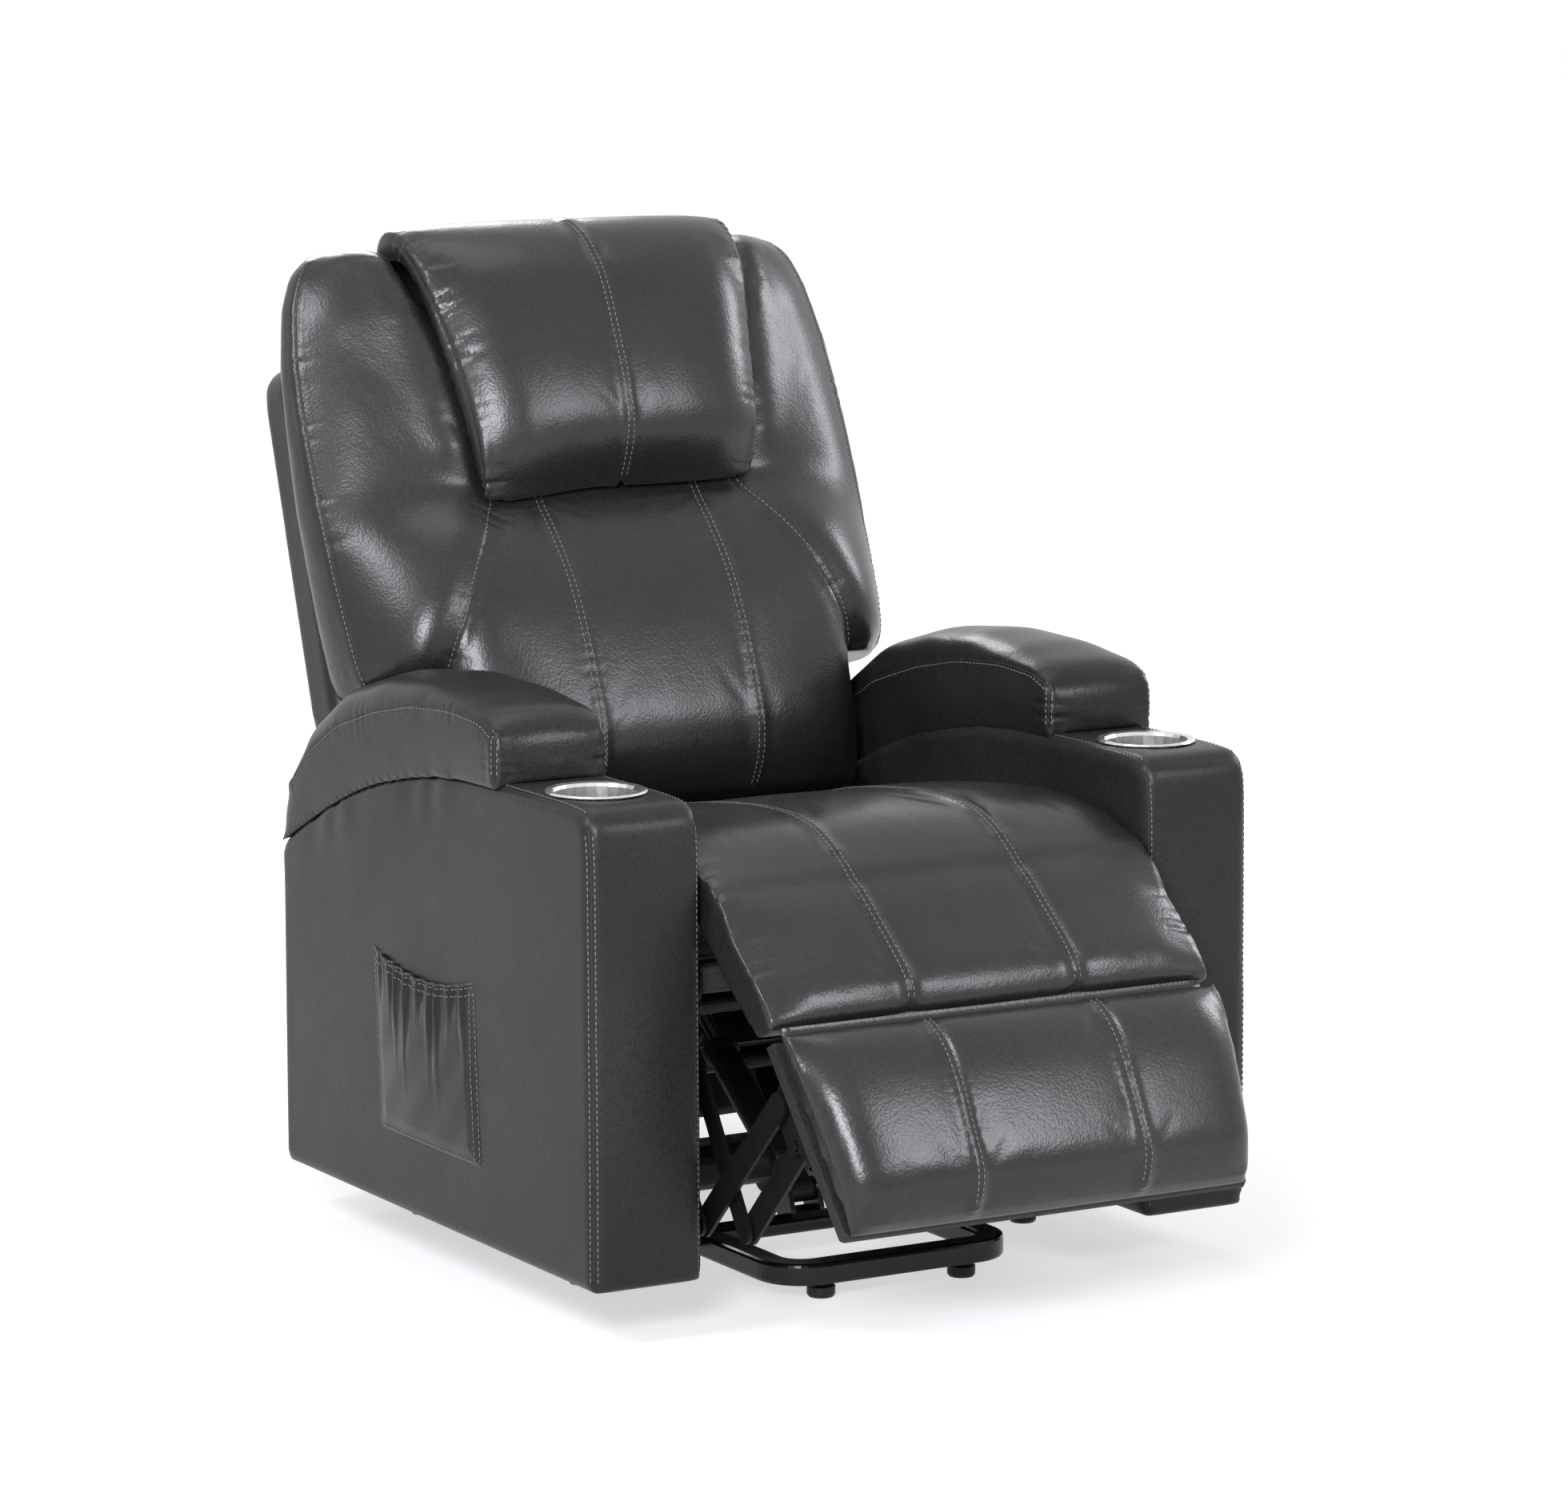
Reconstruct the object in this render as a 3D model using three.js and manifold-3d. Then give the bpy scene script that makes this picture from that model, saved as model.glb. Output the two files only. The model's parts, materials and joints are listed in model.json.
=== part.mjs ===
// A power lift recliner: an upholstered armchair on a steel lift base.
// Millimetres, +Z up, the sitter faces -Y. "Left" and "right" are the sitter's, so left is +X.
// Side views are given as [y, z] pairs: y back from the middle of the arms, z up from the floor.

import * as THREE from "three";
import { mergeVertices } from "three/addons/utils/BufferGeometryUtils.js";
import Module from "manifold-3d";

const wasm = await Module();
wasm.setup();

// ---------------------------------------------------------------- driving dimensions

const GAP = 0.3; // between pieces that touch
const PIN_PLAY = 1.2; // radial play where a linkage closes on itself
const EYE_PLAY = 4.8; // radial play of a pin in the rod eye of an actuator

const ARM_INNER = 283;
const ARM_OUTER = 420;
const ARM_HALF_LENGTH = 376;
const ARM_BOTTOM = 58;
const ARM_TOP = 579;
const ARM_WALL = 14;

const CUP = { x: 353, y: -265, radius: 46.5, rim: 56, depth: 74, wall: 1.6 };
const POCKET = { front: -120, back: 130, top: 356, bottom: 147, depth: 10, skin: 3, slant: 13, sag: 20 };

const SEAT_HALF = 279;
const SEAT_REAR_HALF = 260;
const CALF_HALF = 277;
const BACK_HALF = 267;
const SHELL_HALF = 350;
const PILLOW_SEAM = 105; // the double seams of seat, back and footrest stand this far from the middle

const BACK_LEAN = THREE.MathUtils.degToRad(18);
const CALF_SLOPE = Math.atan2(106, 134); // below the horizontal, at rest
const BOARD_SLOPE = THREE.MathUtils.degToRad(61.2);

// Pivots of the chair at rest, as [y, z].
const PIVOT = {
  back: [170, 440],
  calf: [-372, 446],
  board: [-506, 340],
  ottomanFront: [-268, 338.5],
  ottomanRear: [-221.5, 292.5],
  cross: [-383, 157.5],
  kneeFront: [-410.5, 115],
  kneeRear: [-335.5, 110],
  bracketTop: [-494, 269.5],
  bracketLow: [-521, 231],
  liftMain: [207.5, 158],
  liftMainTop: [-83, 102.5],
  liftGuide: [336, 120],
  liftGuideTop: [-35, 74],
  tubeFront: [-205, 322],
  tubeRear: [170, 300],
  backDrive: [180, 340],
  liftMotor: [-90, 66],
  liftDrive: [150, 240],
};

// Each flat linkage piece has its own plane beside the seat, as its inner face's distance from the middle.
const PLANE = {
  liftMain: 193,
  liftBracket: 200,
  liftGuide: 207,
  ottomanLower: 244,
  ottomanFront: 251,
  ottomanUpper: 258,
  ottomanRear: 265,
  backBracket: 268,
  sidePlate: 274,
};
const BAR = 4.5; // thickness of the linkage bars
const PIN = 5; // radius of the linkage pins
const TUBE = 12; // radius of the cross tubes

const SIDES = { left: 1, right: -1 };

// ---------------------------------------------------------------- materials

const finish = (color, roughness, metalness) => new THREE.MeshStandardMaterial({ color, roughness, metalness });
const LEATHER = finish(0x3b3d3f, 0.42, 0);
const BLACK_STEEL = finish(0x17181a, 0.35, 0.6);
const LINK_STEEL = finish(0x2a2b2d, 0.45, 0.8);
const BRIGHT_STEEL = finish(0xc9cac8, 0.25, 1);
const SPRING_STEEL = finish(0x6f7173, 0.4, 1);
const BLACK_PLASTIC = finish(0x1c1c1e, 0.6, 0);
const WOOD = finish(0xb98f5f, 0.75, 0);

// ---------------------------------------------------------------- solids

function solid(geometry) {
  const bare = new THREE.BufferGeometry();
  bare.setAttribute("position", geometry.getAttribute("position"));
  if (geometry.index) bare.setIndex(geometry.index);
  const merged = mergeVertices(bare, 1e-3);
  return new wasm.Manifold(
    new wasm.Mesh({
      numProp: 3,
      vertProperties: new Float32Array(merged.attributes.position.array),
      triVerts: new Uint32Array(merged.index.array),
    }),
  );
}

function geometryOf(manifold) {
  const { vertProperties, triVerts } = manifold.getMesh();
  const geometry = new THREE.BufferGeometry();
  geometry.setAttribute("position", new THREE.BufferAttribute(vertProperties, 3));
  geometry.setIndex(new THREE.BufferAttribute(triVerts, 1));
  return geometry;
}

const join = (first, ...rest) => rest.reduce((sum, next) => sum.add(next), first);
const cut = (first, ...rest) => rest.reduce((left, next) => left.subtract(next), first);

// ---------------------------------------------------------------- outlines and extrusions

const along = (a, b, t) => a.map((value, i) => value + (b[i] - value) * t);
const distance = (a, b) => Math.hypot(b[0] - a[0], b[1] - a[1]);

// A closed outline through POINTS with each corner rounded to RADIUS.
function rounded(points, radius) {
  const shape = new THREE.Shape();
  points.forEach((corner, i) => {
    const before = points[(i + points.length - 1) % points.length];
    const after = points[(i + 1) % points.length];
    const reach = (end) => Math.min(radius, 0.45 * distance(corner, end)) / distance(corner, end);
    const start = along(corner, before, reach(before));
    const end = along(corner, after, reach(after));
    if (i) shape.lineTo(...start);
    else shape.moveTo(...start);
    shape.quadraticCurveTo(...corner, ...end);
  });
  shape.closePath();
  return shape;
}

// The outline of a bar with round ends at A and B.
function bar(a, b, radius) {
  const lie = Math.atan2(b[1] - a[1], b[0] - a[0]);
  const shape = new THREE.Shape();
  shape.absarc(...a, radius, lie + Math.PI / 2, lie + 1.5 * Math.PI, false);
  shape.absarc(...b, radius, lie - Math.PI / 2, lie + Math.PI / 2, false);
  shape.closePath();
  return shape;
}

// Extrudes a side-view outline across the chair, from X0 to X1.
const ACROSS = new THREE.Matrix4().makeBasis(
  new THREE.Vector3(0, 1, 0),
  new THREE.Vector3(0, 0, 1),
  new THREE.Vector3(1, 0, 0),
);
function across(shape, x0, x1, edge = 0, curveSegments = 4) {
  const geometry = new THREE.ExtrudeGeometry(shape, {
    depth: x1 - x0 - 2 * edge,
    bevelEnabled: edge > 0,
    bevelThickness: edge,
    bevelSize: edge,
    bevelOffset: -edge,
    bevelSegments: 2,
    curveSegments,
  });
  geometry.applyMatrix4(ACROSS);
  geometry.translate(x0 + edge, 0, 0);
  return solid(geometry);
}

// A round pin, tube or hole along X.
function rod(centre, radius, x0, x1, sides = 12) {
  const geometry = new THREE.CylinderGeometry(radius, radius, x1 - x0, sides);
  geometry.rotateZ(Math.PI / 2);
  geometry.translate((x0 + x1) / 2, ...centre);
  return solid(geometry);
}

function block(x0, x1, y0, y1, z0, z1) {
  const geometry = new THREE.BoxGeometry(x1 - x0, y1 - y0, z1 - z0);
  geometry.translate((x0 + x1) / 2, (y0 + y1) / 2, (z0 + z1) / 2);
  return solid(geometry);
}

// A solid of revolution about the vertical through X, Y.
function turned(profile, x, y, sides) {
  const geometry = new THREE.LatheGeometry(profile.map((p) => new THREE.Vector2(...p)), sides);
  geometry.rotateX(Math.PI / 2);
  geometry.translate(x, y, 0);
  return solid(geometry);
}

// ---------------------------------------------------------------- sewn pads

// A closed curve through POINTS, STEPS samples to a span. A point marked "corner" stays sharp.
function curve(points, steps = 2) {
  const at = (i) => points[(i + points.length) % points.length];
  const span = (i) => distance(at(i), at(i + 1));
  const rate = (i, k) => (at(i + 1)[k] - at(i)[k]) / span(i);
  const slope = (i, k, ahead) => {
    if (at(i)[2] === "corner") return rate(ahead ? i : i - 1, k);
    return (rate(i - 1, k) * span(i) + rate(i, k) * span(i - 1)) / (span(i - 1) + span(i));
  };
  return points.flatMap((from, i) => Array.from({ length: steps }, (_, n) => {
    const t = n / steps;
    const hold = 2 * t ** 3 - 3 * t ** 2 + 1;
    const leave = (t ** 3 - 2 * t ** 2 + t) * span(i);
    const arrive = (t ** 3 - t ** 2) * span(i);
    return [0, 1].map((k) =>
      hold * from[k] + (1 - hold) * at(i + 1)[k] + leave * slope(i, k, true) + arrive * slope(i + 1, k, false));
  }));
}

// A closed skin through a row of rings of the same number of points. Its end faces look along axis FLAT.
function loft(rings, flat = 0) {
  const count = rings[0].length;
  const position = rings.flat(2);
  const index = [];
  for (let r = 0; r + 1 < rings.length; r++)
    for (let i = 0; i < count; i++) {
      const a = r * count + i;
      const b = r * count + ((i + 1) % count);
      index.push(a, b, b + count, a, b + count, a + count);
    }
  const cap = (ring, start, turn) => {
    const kept = [0, 1, 2].filter((k) => k !== flat);
    const corners = ring.map((p) => new THREE.Vector2(p[kept[0]], p[kept[1]]));
    const area = THREE.ShapeUtils.area(corners);
    for (const face of THREE.ShapeUtils.triangulateShape(corners, [])) {
      const side = cornersTurn(corners, face) * area > 0 ? face : [face[0], face[2], face[1]];
      index.push(...(turn ? side : [side[0], side[2], side[1]]).map((i) => start + i));
    }
  };
  cap(rings[0], 0, false);
  cap(rings.at(-1), (rings.length - 1) * count, true);
  const geometry = new THREE.BufferGeometry();
  geometry.setAttribute("position", new THREE.BufferAttribute(new Float32Array(position), 3));
  geometry.setIndex(inwards(position, index) ? index.reverse() : index);
  return solid(geometry);
}

function cornersTurn(corners, [a, b, c]) {
  const first = corners[b].clone().sub(corners[a]);
  return first.cross(corners[c].clone().sub(corners[a]));
}

function inwards(position, index) {
  let volume = 0;
  const corner = (i) => new THREE.Vector3().fromArray(position, 3 * i);
  for (let i = 0; i < index.length; i += 3)
    volume += corner(index[i]).dot(corner(index[i + 1]).cross(corner(index[i + 2])));
  return volume < 0;
}

// Stations across a pad: close together at its edges, where it rounds off, and at its channels.
function stations(halfWidth, channels, steps) {
  const edge = Array.from({ length: steps }, (_, i) => Math.sin((Math.PI / 2) * ((i + 1) / steps)) ** 0.7);
  const row = [0, ...edge.map((u) => u * halfWidth)];
  for (const x of channels) if (x >= 0) row.push(...(x ? [x - CHANNEL, x, x + CHANNEL] : [CHANNEL]));
  const half = [...new Set(row)].sort((a, b) => a - b).filter((x, i, all) => !i || x - all[i - 1] > 3);
  return [...half.slice(1).reverse().map((x) => -x), ...half];
}
const CHANNEL = 8;

// A sewn pad across the chair. EDGE and MIDDLE are its outlines in step, seen from the side; the section
// swells from one to the other. CHANNELS are the seams' distances from the middle, drawn in by DRAW over
// the part of the outline whose points lie on SHOW. WIDEN gives a point's share of the half width.
function pad({ edge, middle, halfWidth, fullness = 3, channels = [], draw = 6, show, widen, steps = 5, fine = 2 }) {
  const outer = curve(edge, fine);
  const inner = curve(middle, fine);
  const normals = inner.map((p, i) => {
    const a = inner[(i + inner.length - 1) % inner.length];
    const b = inner[(i + 1) % inner.length];
    const length = distance(a, b) || 1;
    return [(b[1] - a[1]) / length, (a[0] - b[0]) / length];
  });
  const spin = Math.sign(THREE.ShapeUtils.area(inner.map((p) => new THREE.Vector2(...p))));
  const rings = stations(halfWidth, channels, steps).map((x) => {
    const swell = (1 - Math.abs(x / halfWidth) ** fullness) ** (1 / 2);
    const pull = channels.reduce((sum, c) => Math.max(sum, draw * Math.exp(-(((x - c) / CHANNEL) ** 2) * 1.5),
      draw * Math.exp(-(((x + c) / CHANNEL) ** 2) * 1.5)), 0);
    return inner.map((p, i) => {
      const [y, z] = along(outer[i], p, swell);
      const share = widen ? widen(y, z) : 1;
      const drawn = show && !show(...p) ? 0 : pull * spin * swell;
      return [x * share, y - normals[i][0] * drawn, z - normals[i][1] * drawn];
    });
  });
  return loft(rings);
}

// Turns a pad's local [down the slope, out of the face] frame into the side view at a pivot.
function sloped(pivot, slope, [d, n]) {
  const down = [-Math.cos(slope), -Math.sin(slope)];
  const out = [-Math.sin(slope), Math.cos(slope)];
  return [pivot[0] + d * down[0] + n * out[0], pivot[1] + d * down[1] + n * out[1]];
}
const slopedAll = (pivot, slope, points) => points.map((p) => [...sloped(pivot, slope, p), p[2]]);

// ---------------------------------------------------------------- the scene

const chair = new THREE.Group();

function place(name, manifold, material, group = chair) {
  const mesh = new THREE.Mesh(geometryOf(manifold), material);
  mesh.name = name;
  group.add(mesh);
  return mesh;
}

// One piece for each side: made on the sitter's left and mirrored to the right.
function pair(name, manifold, material, group = chair) {
  for (const [side, sign] of Object.entries(SIDES))
    place(`${name}_${side}`, manifold, material, group).scale.x = sign;
}

// ---------------------------------------------------------------- base

const BASE = {
  low: 18, high: 43, tube: 32, halfWidth: 155, front: -322, back: 271, corner: 55,
  crossFront: [-132, -92], crossRear: [255, 295], crossHalf: 304, wall: 2.5,
};

function baseLoop() {
  const { low, high, tube, halfWidth, front, back, corner } = BASE;
  const loop = (inset) => {
    const w = halfWidth - inset;
    const r = corner - inset;
    const shape = new THREE.Shape();
    shape.moveTo(w, BASE.crossRear[0] - GAP);
    shape.lineTo(w, front + inset + r);
    shape.absarc(w - r, front + inset + r, r, 0, -Math.PI / 2, true);
    shape.absarc(r - w, front + inset + r, r, -Math.PI / 2, -Math.PI, true);
    shape.lineTo(-w, BASE.crossRear[0] - GAP);
    return shape;
  };
  const outline = loop(0);
  const inside = loop(tube).getPoints(3).reverse();
  inside.forEach((p) => outline.lineTo(p.x, p.y));
  outline.closePath();
  const geometry = new THREE.ExtrudeGeometry(outline, {
    depth: high - low - 8, bevelThickness: 4, bevelSize: 4, bevelOffset: -4, bevelSegments: 2, curveSegments: 6,
  });
  geometry.translate(0, 0, low + 4);
  const notch = block(-400, 400, BASE.crossFront[0] - GAP, BASE.crossFront[1] + GAP, low + 9, high + 5);
  return cut(solid(geometry), notch);
}

// A wide bar of the base: it lies in the notches of the rails, over their lower half.
function crossBar([y0, y1], low) {
  const section = rounded([[y0, low], [y1, low], [y1, BASE.high], [y0, BASE.high]], 5);
  return across(section, -BASE.crossHalf, BASE.crossHalf, 0, 3);
}

function motorClevis() {
  const [y, z] = PIVOT.liftMotor;
  const ear = rounded([[y - 26, BASE.high - 2], [y - 14, z + 14], [y + 14, z + 14], [y + 14, BASE.high - 2]], 9);
  const ears = [-22, 16].map((x) => cut(across(ear, x, x + 6), rod([y, z], PIN + 1 + GAP, x - 1, x + 7)));
  return join(...ears, block(-22, 22, y - 26, BASE.crossFront[1] + 10, BASE.high - 4, BASE.high + 4));
}

place("base_loop", baseLoop(), BLACK_STEEL);
place("base_cross_front", join(crossBar(BASE.crossFront, BASE.low + 9 + GAP), motorClevis()), BLACK_STEEL);
place("base_cross_rear", crossBar(BASE.crossRear, BASE.low), BLACK_STEEL);

const FOOT = [[4, 0], [14, 0], [16, 3], [16, 12]];
const footProfile = (top) => [[0, 0], ...FOOT, [9, 13], [9, top], [0, top]];
const FEET = {
  front: [91, BASE.front + 26, BASE.low - GAP],
  middle: [290, -112, BASE.low + 9],
  rear: [290, 275, BASE.low - GAP],
};
for (const [row, [x, y, top]] of Object.entries(FEET))
  pair(`foot_${row}`, turned(footProfile(top), x, y, 16), BLACK_PLASTIC);

// The plates that stand on the rear bar and carry both lift links.
function liftUpright() {
  const main = PIVOT.liftMain;
  const guide = PIVOT.liftGuide;
  const foot = BASE.high + GAP;
  const outline = rounded(
    [[248, foot], [302, foot], [352, 98], [352, 142], [322, 150], [226, 182], [188, 176], [190, 140]], 14,
  );
  const plate = across(outline, PLANE.liftBracket, PLANE.liftBracket + BAR);
  const sole = block(PLANE.liftBracket - 28, PLANE.liftBracket + 2, 256, 294, foot, foot + BAR);
  const holes = [main, guide].map((p) => rod(p, PIN + 1 + GAP, 190, 215));
  const lightening = rod([272, 110], 18, 190, 215);
  return cut(join(plate, sole), ...holes, lightening);
}
pair("lift_upright", liftUpright(), BLACK_STEEL);

// ---------------------------------------------------------------- lift links

// A flat bar with a boss at each end. PINS are welded in it and HOLES turn on its neighbours' pins.
function link({ plane, ends, width = 13, thickness = BAR, pins = [], holes = [] }) {
  const spans = ends.slice(1).map((end, i) => across(bar(ends[i], end, width), plane, plane + thickness));
  const bored = cut(join(...spans), ...holes.map(([p, radius]) => rod(p, radius, plane - 1, plane + thickness + 1)));
  return join(bored, ...pins.map(([p, from, to]) => rod(p, PIN, from, to, 12)));
}

const HEAD = 2; // how far a pin's head stands proud of the outer plate
const LOOSE = PIN + PIN_PLAY;
const SNUG = PIN + GAP;

pair("lift_link_main", link({
  plane: PLANE.liftMain,
  ends: [PIVOT.liftMain, PIVOT.liftMainTop],
  width: 17,
  thickness: 5,
  pins: [
    [PIVOT.liftMain, PLANE.liftMain + 4, PLANE.liftBracket + BAR + HEAD],
    [PIVOT.liftMainTop, PLANE.liftMain + 4, PLANE.liftBracket + BAR + HEAD],
  ],
}), LINK_STEEL);

pair("lift_link_guide", link({
  plane: PLANE.liftGuide,
  ends: [PIVOT.liftGuide, PIVOT.liftGuideTop],
  width: 12,
  thickness: 5,
  pins: [
    [PIVOT.liftGuide, PLANE.liftBracket - 1, PLANE.liftGuide + 4],
    [PIVOT.liftGuideTop, PLANE.liftBracket - 1, PLANE.liftGuide + 4],
  ],
}), LINK_STEEL);

// The torque tube that the lift rod turns, with its two crank plates.
function liftTorqueTube() {
  const tube = rod(PIVOT.liftMain, TUBE + 4, -PLANE.liftMain + GAP, PLANE.liftMain - GAP, 20);
  const plate = bar(PIVOT.liftMain, PIVOT.liftDrive, 18);
  const cranks = [-18, 13].map((x) => across(plate, x, x + 5));
  const pin = rod(PIVOT.liftDrive, PIN + 1, -20, 20, 12);
  return join(tube, ...cranks, pin);
}
place("lift_torque_tube", liftTorqueTube(), LINK_STEEL);

// ---------------------------------------------------------------- actuators

// An actuator lies in its own upright frame: along its axis, across it, and up. LENGTH is between eyes.
function actuatorFrame(origin, angle) {
  const group = new THREE.Group();
  group.position.set(0, ...origin);
  group.rotation.x = angle;
  chair.add(group);
  return group;
}

// A cylinder about the actuator's own axis, which is its frame's Y.
function barrel(radius, from, to, sides = 20) {
  const geometry = new THREE.CylinderGeometry(radius, radius, to - from, sides);
  geometry.translate(0, (from + to) / 2, 0);
  return solid(geometry);
}

function motorBody({ eye, bore, eyeWidth, tube, side }) {
  const gearbox = across(rounded([[24, -30], [78, -30], [84, 0], [78, 34], [24, 34]], 10), -27, 27, 4, 3);
  const rear = cut(
    join(rod([0, 0], eye, -eyeWidth, eyeWidth, 20), block(-eyeWidth, eyeWidth, 6, 30, -12, 12)),
    rod([0, 0], bore, -40, 40, 20),
  );
  const motor = rod([51, 2], 27, side > 0 ? 20 : -150, side > 0 ? 150 : -20, 20);
  const cap = rod([51, 2], 22, side > 0 ? 149 : -156, side > 0 ? 156 : -149, 20);
  const sleeve = barrel(18, 80, tube);
  const collar = barrel(21, tube - 14, tube);
  const hollow = barrel(10 + GAP, 66, tube + 1);
  return cut(join(gearbox, rear, motor, cap, sleeve, collar), hollow);
}

function rodBody({ from, length, eyeWidth, pin }) {
  const eye = rod([length, 0], pin + EYE_PLAY + 6, -eyeWidth, eyeWidth, 20);
  return cut(join(barrel(10, from, length - 8), eye), rod([length, 0], pin + EYE_PLAY, -20, 20, 20));
}

const LIFT_ACTUATOR = { length: 298.1, angle: 0.6379, tube: 225, rodFrom: 88 };
const liftActuator = actuatorFrame(PIVOT.liftMotor, LIFT_ACTUATOR.angle);
place("lift_motor", join(
  motorBody({ eye: 13, bore: PIN + 1 + GAP, eyeWidth: 15.5, tube: LIFT_ACTUATOR.tube, side: -1 }),
), BLACK_PLASTIC, liftActuator);
place("lift_rod", rodBody({
  from: LIFT_ACTUATOR.rodFrom, length: LIFT_ACTUATOR.length, eyeWidth: 12.5, pin: PIN + 1,
}), BRIGHT_STEEL, liftActuator);

const RECLINE_ACTUATOR = { length: 384.5, angle: 0.0377, tube: 262, rodFrom: 152 };
const reclineActuator = actuatorFrame(PIVOT.tubeFront, RECLINE_ACTUATOR.angle);
place("recline_motor", motorBody({
  eye: 20, bore: TUBE + GAP, eyeWidth: 15.5, tube: RECLINE_ACTUATOR.tube, side: 1,
}), BLACK_PLASTIC, reclineActuator);
place("recline_rod", rodBody({
  from: RECLINE_ACTUATOR.rodFrom, length: RECLINE_ACTUATOR.length, eyeWidth: 12.5, pin: 9,
}), BRIGHT_STEEL, reclineActuator);

// ---------------------------------------------------------------- seat frame and side plates

const SEAT_BASE = 399; // underside of the seat cushion
const RAIL = { low: 364, high: 393.5, thickness: 22, front: -345, rear: 66 };

place("cross_tube_front", rod(PIVOT.tubeFront, TUBE, GAP - PLANE.sidePlate, PLANE.sidePlate - GAP, 20), LINK_STEEL);
place("cross_tube_rear", rod(PIVOT.tubeRear, TUBE, GAP - PLANE.sidePlate, PLANE.sidePlate - GAP, 20), LINK_STEEL);

// The plate on the arm's inner side that carries the footrest linkage and the back's hinge.
function sidePlate() {
  const outline = rounded([
    [-356, 396], [118, 396], [146, 452], [166, 464], [188, 458], [196, 436], [198, 290], [180, 276], [60, 276],
    [-60, 268], [-210, 268], [-246, 274], [-296, 334], [-356, 360],
  ], 14);
  const slots = [[-150, -60], [-30, 60]].map(([y0, y1]) => across(bar([y0, 330], [y1, 330], 20), 270, 282));
  const spacers = [[-300, 376], [-40, 372], [150, 340]].map((p) => rod(p, 9, PLANE.sidePlate + 1, ARM_INNER - GAP, 12));
  const holes = [PIVOT.back, PIVOT.ottomanFront, PIVOT.ottomanRear].map((p) => rod(p, SNUG, 270, 282));
  return join(cut(across(outline, PLANE.sidePlate, PLANE.sidePlate + BAR), ...slots, ...holes), ...spacers);
}
pair("side_plate", sidePlate(), LINK_STEEL);

// The bracket that hangs from both cross tubes and rides on the lift links.
function liftBracket() {
  const beam = bar(PIVOT.tubeFront, PIVOT.tubeRear, 19);
  const leg = rounded([[-150, 312], [40, 302], [-6, 66], [-34, 58], [-96, 82], [-104, 104]], 14);
  const plate = join(...[beam, leg].map((shape) => across(shape, PLANE.liftBracket, PLANE.liftBracket + BAR)));
  const tubes = [PIVOT.tubeFront, PIVOT.tubeRear].map((p) => rod(p, TUBE + GAP, 190, 215, 20));
  const pins = [rod(PIVOT.liftMainTop, SNUG, 190, 215), rod(PIVOT.liftGuideTop, LOOSE, 190, 215)];
  const lightening = [[-70, 262, 24], [-62, 196, 20], [-58, 144, 14]].map(([y, z, r]) => rod([y, z], r, 190, 215));
  return cut(plate, ...tubes, ...pins, ...lightening);
}
pair("lift_bracket", liftBracket(), LINK_STEEL);

function rail(y0, halfWidth) {
  const section = [[y0, RAIL.low], [y0 + RAIL.thickness, RAIL.low], [y0 + RAIL.thickness, RAIL.high], [y0, RAIL.high]];
  return across(rounded(section, 3), -halfWidth, halfWidth, 0, 2);
}
place("seat_rail_front", rail(RAIL.front, PLANE.sidePlate - GAP), WOOD);
place("seat_rail_rear", rail(RAIL.rear, PLANE.sidePlate - GAP), WOOD);

// Sinuous seat springs from rail to rail, tied together by a cross wire.
function seatSprings() {
  const wire = { radius: 1.9, sides: 3, waves: 13, swing: 22 };
  const height = RAIL.high + GAP + wire.radius;
  const start = RAIL.front + 6;
  const end = RAIL.rear + RAIL.thickness - 6;
  const section = new THREE.Shape();
  section.absarc(0, 0, wire.radius, 0, 2 * Math.PI);
  const rows = [-186, -62, 62, 186].map((x) => {
    const points = Array.from({ length: wire.waves + 1 }, (_, i) => {
      const swing = i === 0 || i === wire.waves ? 0 : wire.swing * (i % 2 ? 1 : -1);
      return new THREE.Vector3(x + swing, start + ((end - start) * i) / wire.waves, height);
    });
    return solid(new THREE.ExtrudeGeometry(section, {
      steps: wire.waves * 2, curveSegments: wire.sides, extrudePath: new THREE.CatmullRomCurve3(points),
    }));
  });
  const tie = rod([(start + end) / 2, height], wire.radius * 0.9, -230, 230, 6);
  return join(tie, ...rows);
}
place("seat_springs", seatSprings(), SPRING_STEEL);

// ---------------------------------------------------------------- seat, calf pad and footrest

const CALF = { round: 38, under: -20, length: 160 };

// The seat's front is hollowed round the calf pad's rounded end, so that the pad can swing in it.
function seatCushion() {
  const nest = CALF.round + 3;
  const hollow = [95, 62, 30, 0].map((degrees) => {
    const turn = THREE.MathUtils.degToRad(degrees);
    return [PIVOT.calf[0] + nest * Math.cos(turn), PIVOT.calf[1] + nest * Math.sin(turn)];
  });
  const front = PIVOT.calf[0] + nest;
  const body = (top) => [
    [front, SEAT_BASE, "corner"], [90, SEAT_BASE, "corner"], [120, SEAT_BASE, "corner"],
    [140, SEAT_BASE, "corner"], [172, SEAT_BASE, "corner"], [172, 452 + top / 3], [158, 466 + top / 3],
    [90, 484 + top / 2], [-20, 508 + top], [-130, 524 + top], [-240, 530 + top], [-310, 521 + top],
    [-352, 502 + top / 2], [-378, 489.5, "corner"], ...hollow,
  ];
  return pad({
    edge: body(-16), middle: body(4), halfWidth: SEAT_HALF, channels: [PILLOW_SEAM], draw: 7,
    show: (y, z) => z > 470 && y > -350, fullness: 5, steps: 5,
    widen: (y) => THREE.MathUtils.lerp(1, SEAT_REAR_HALF / SEAT_HALF, THREE.MathUtils.smoothstep(y, 76, 110)),
  });
}
place("seat_cushion", seatCushion(), LEATHER);

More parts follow.
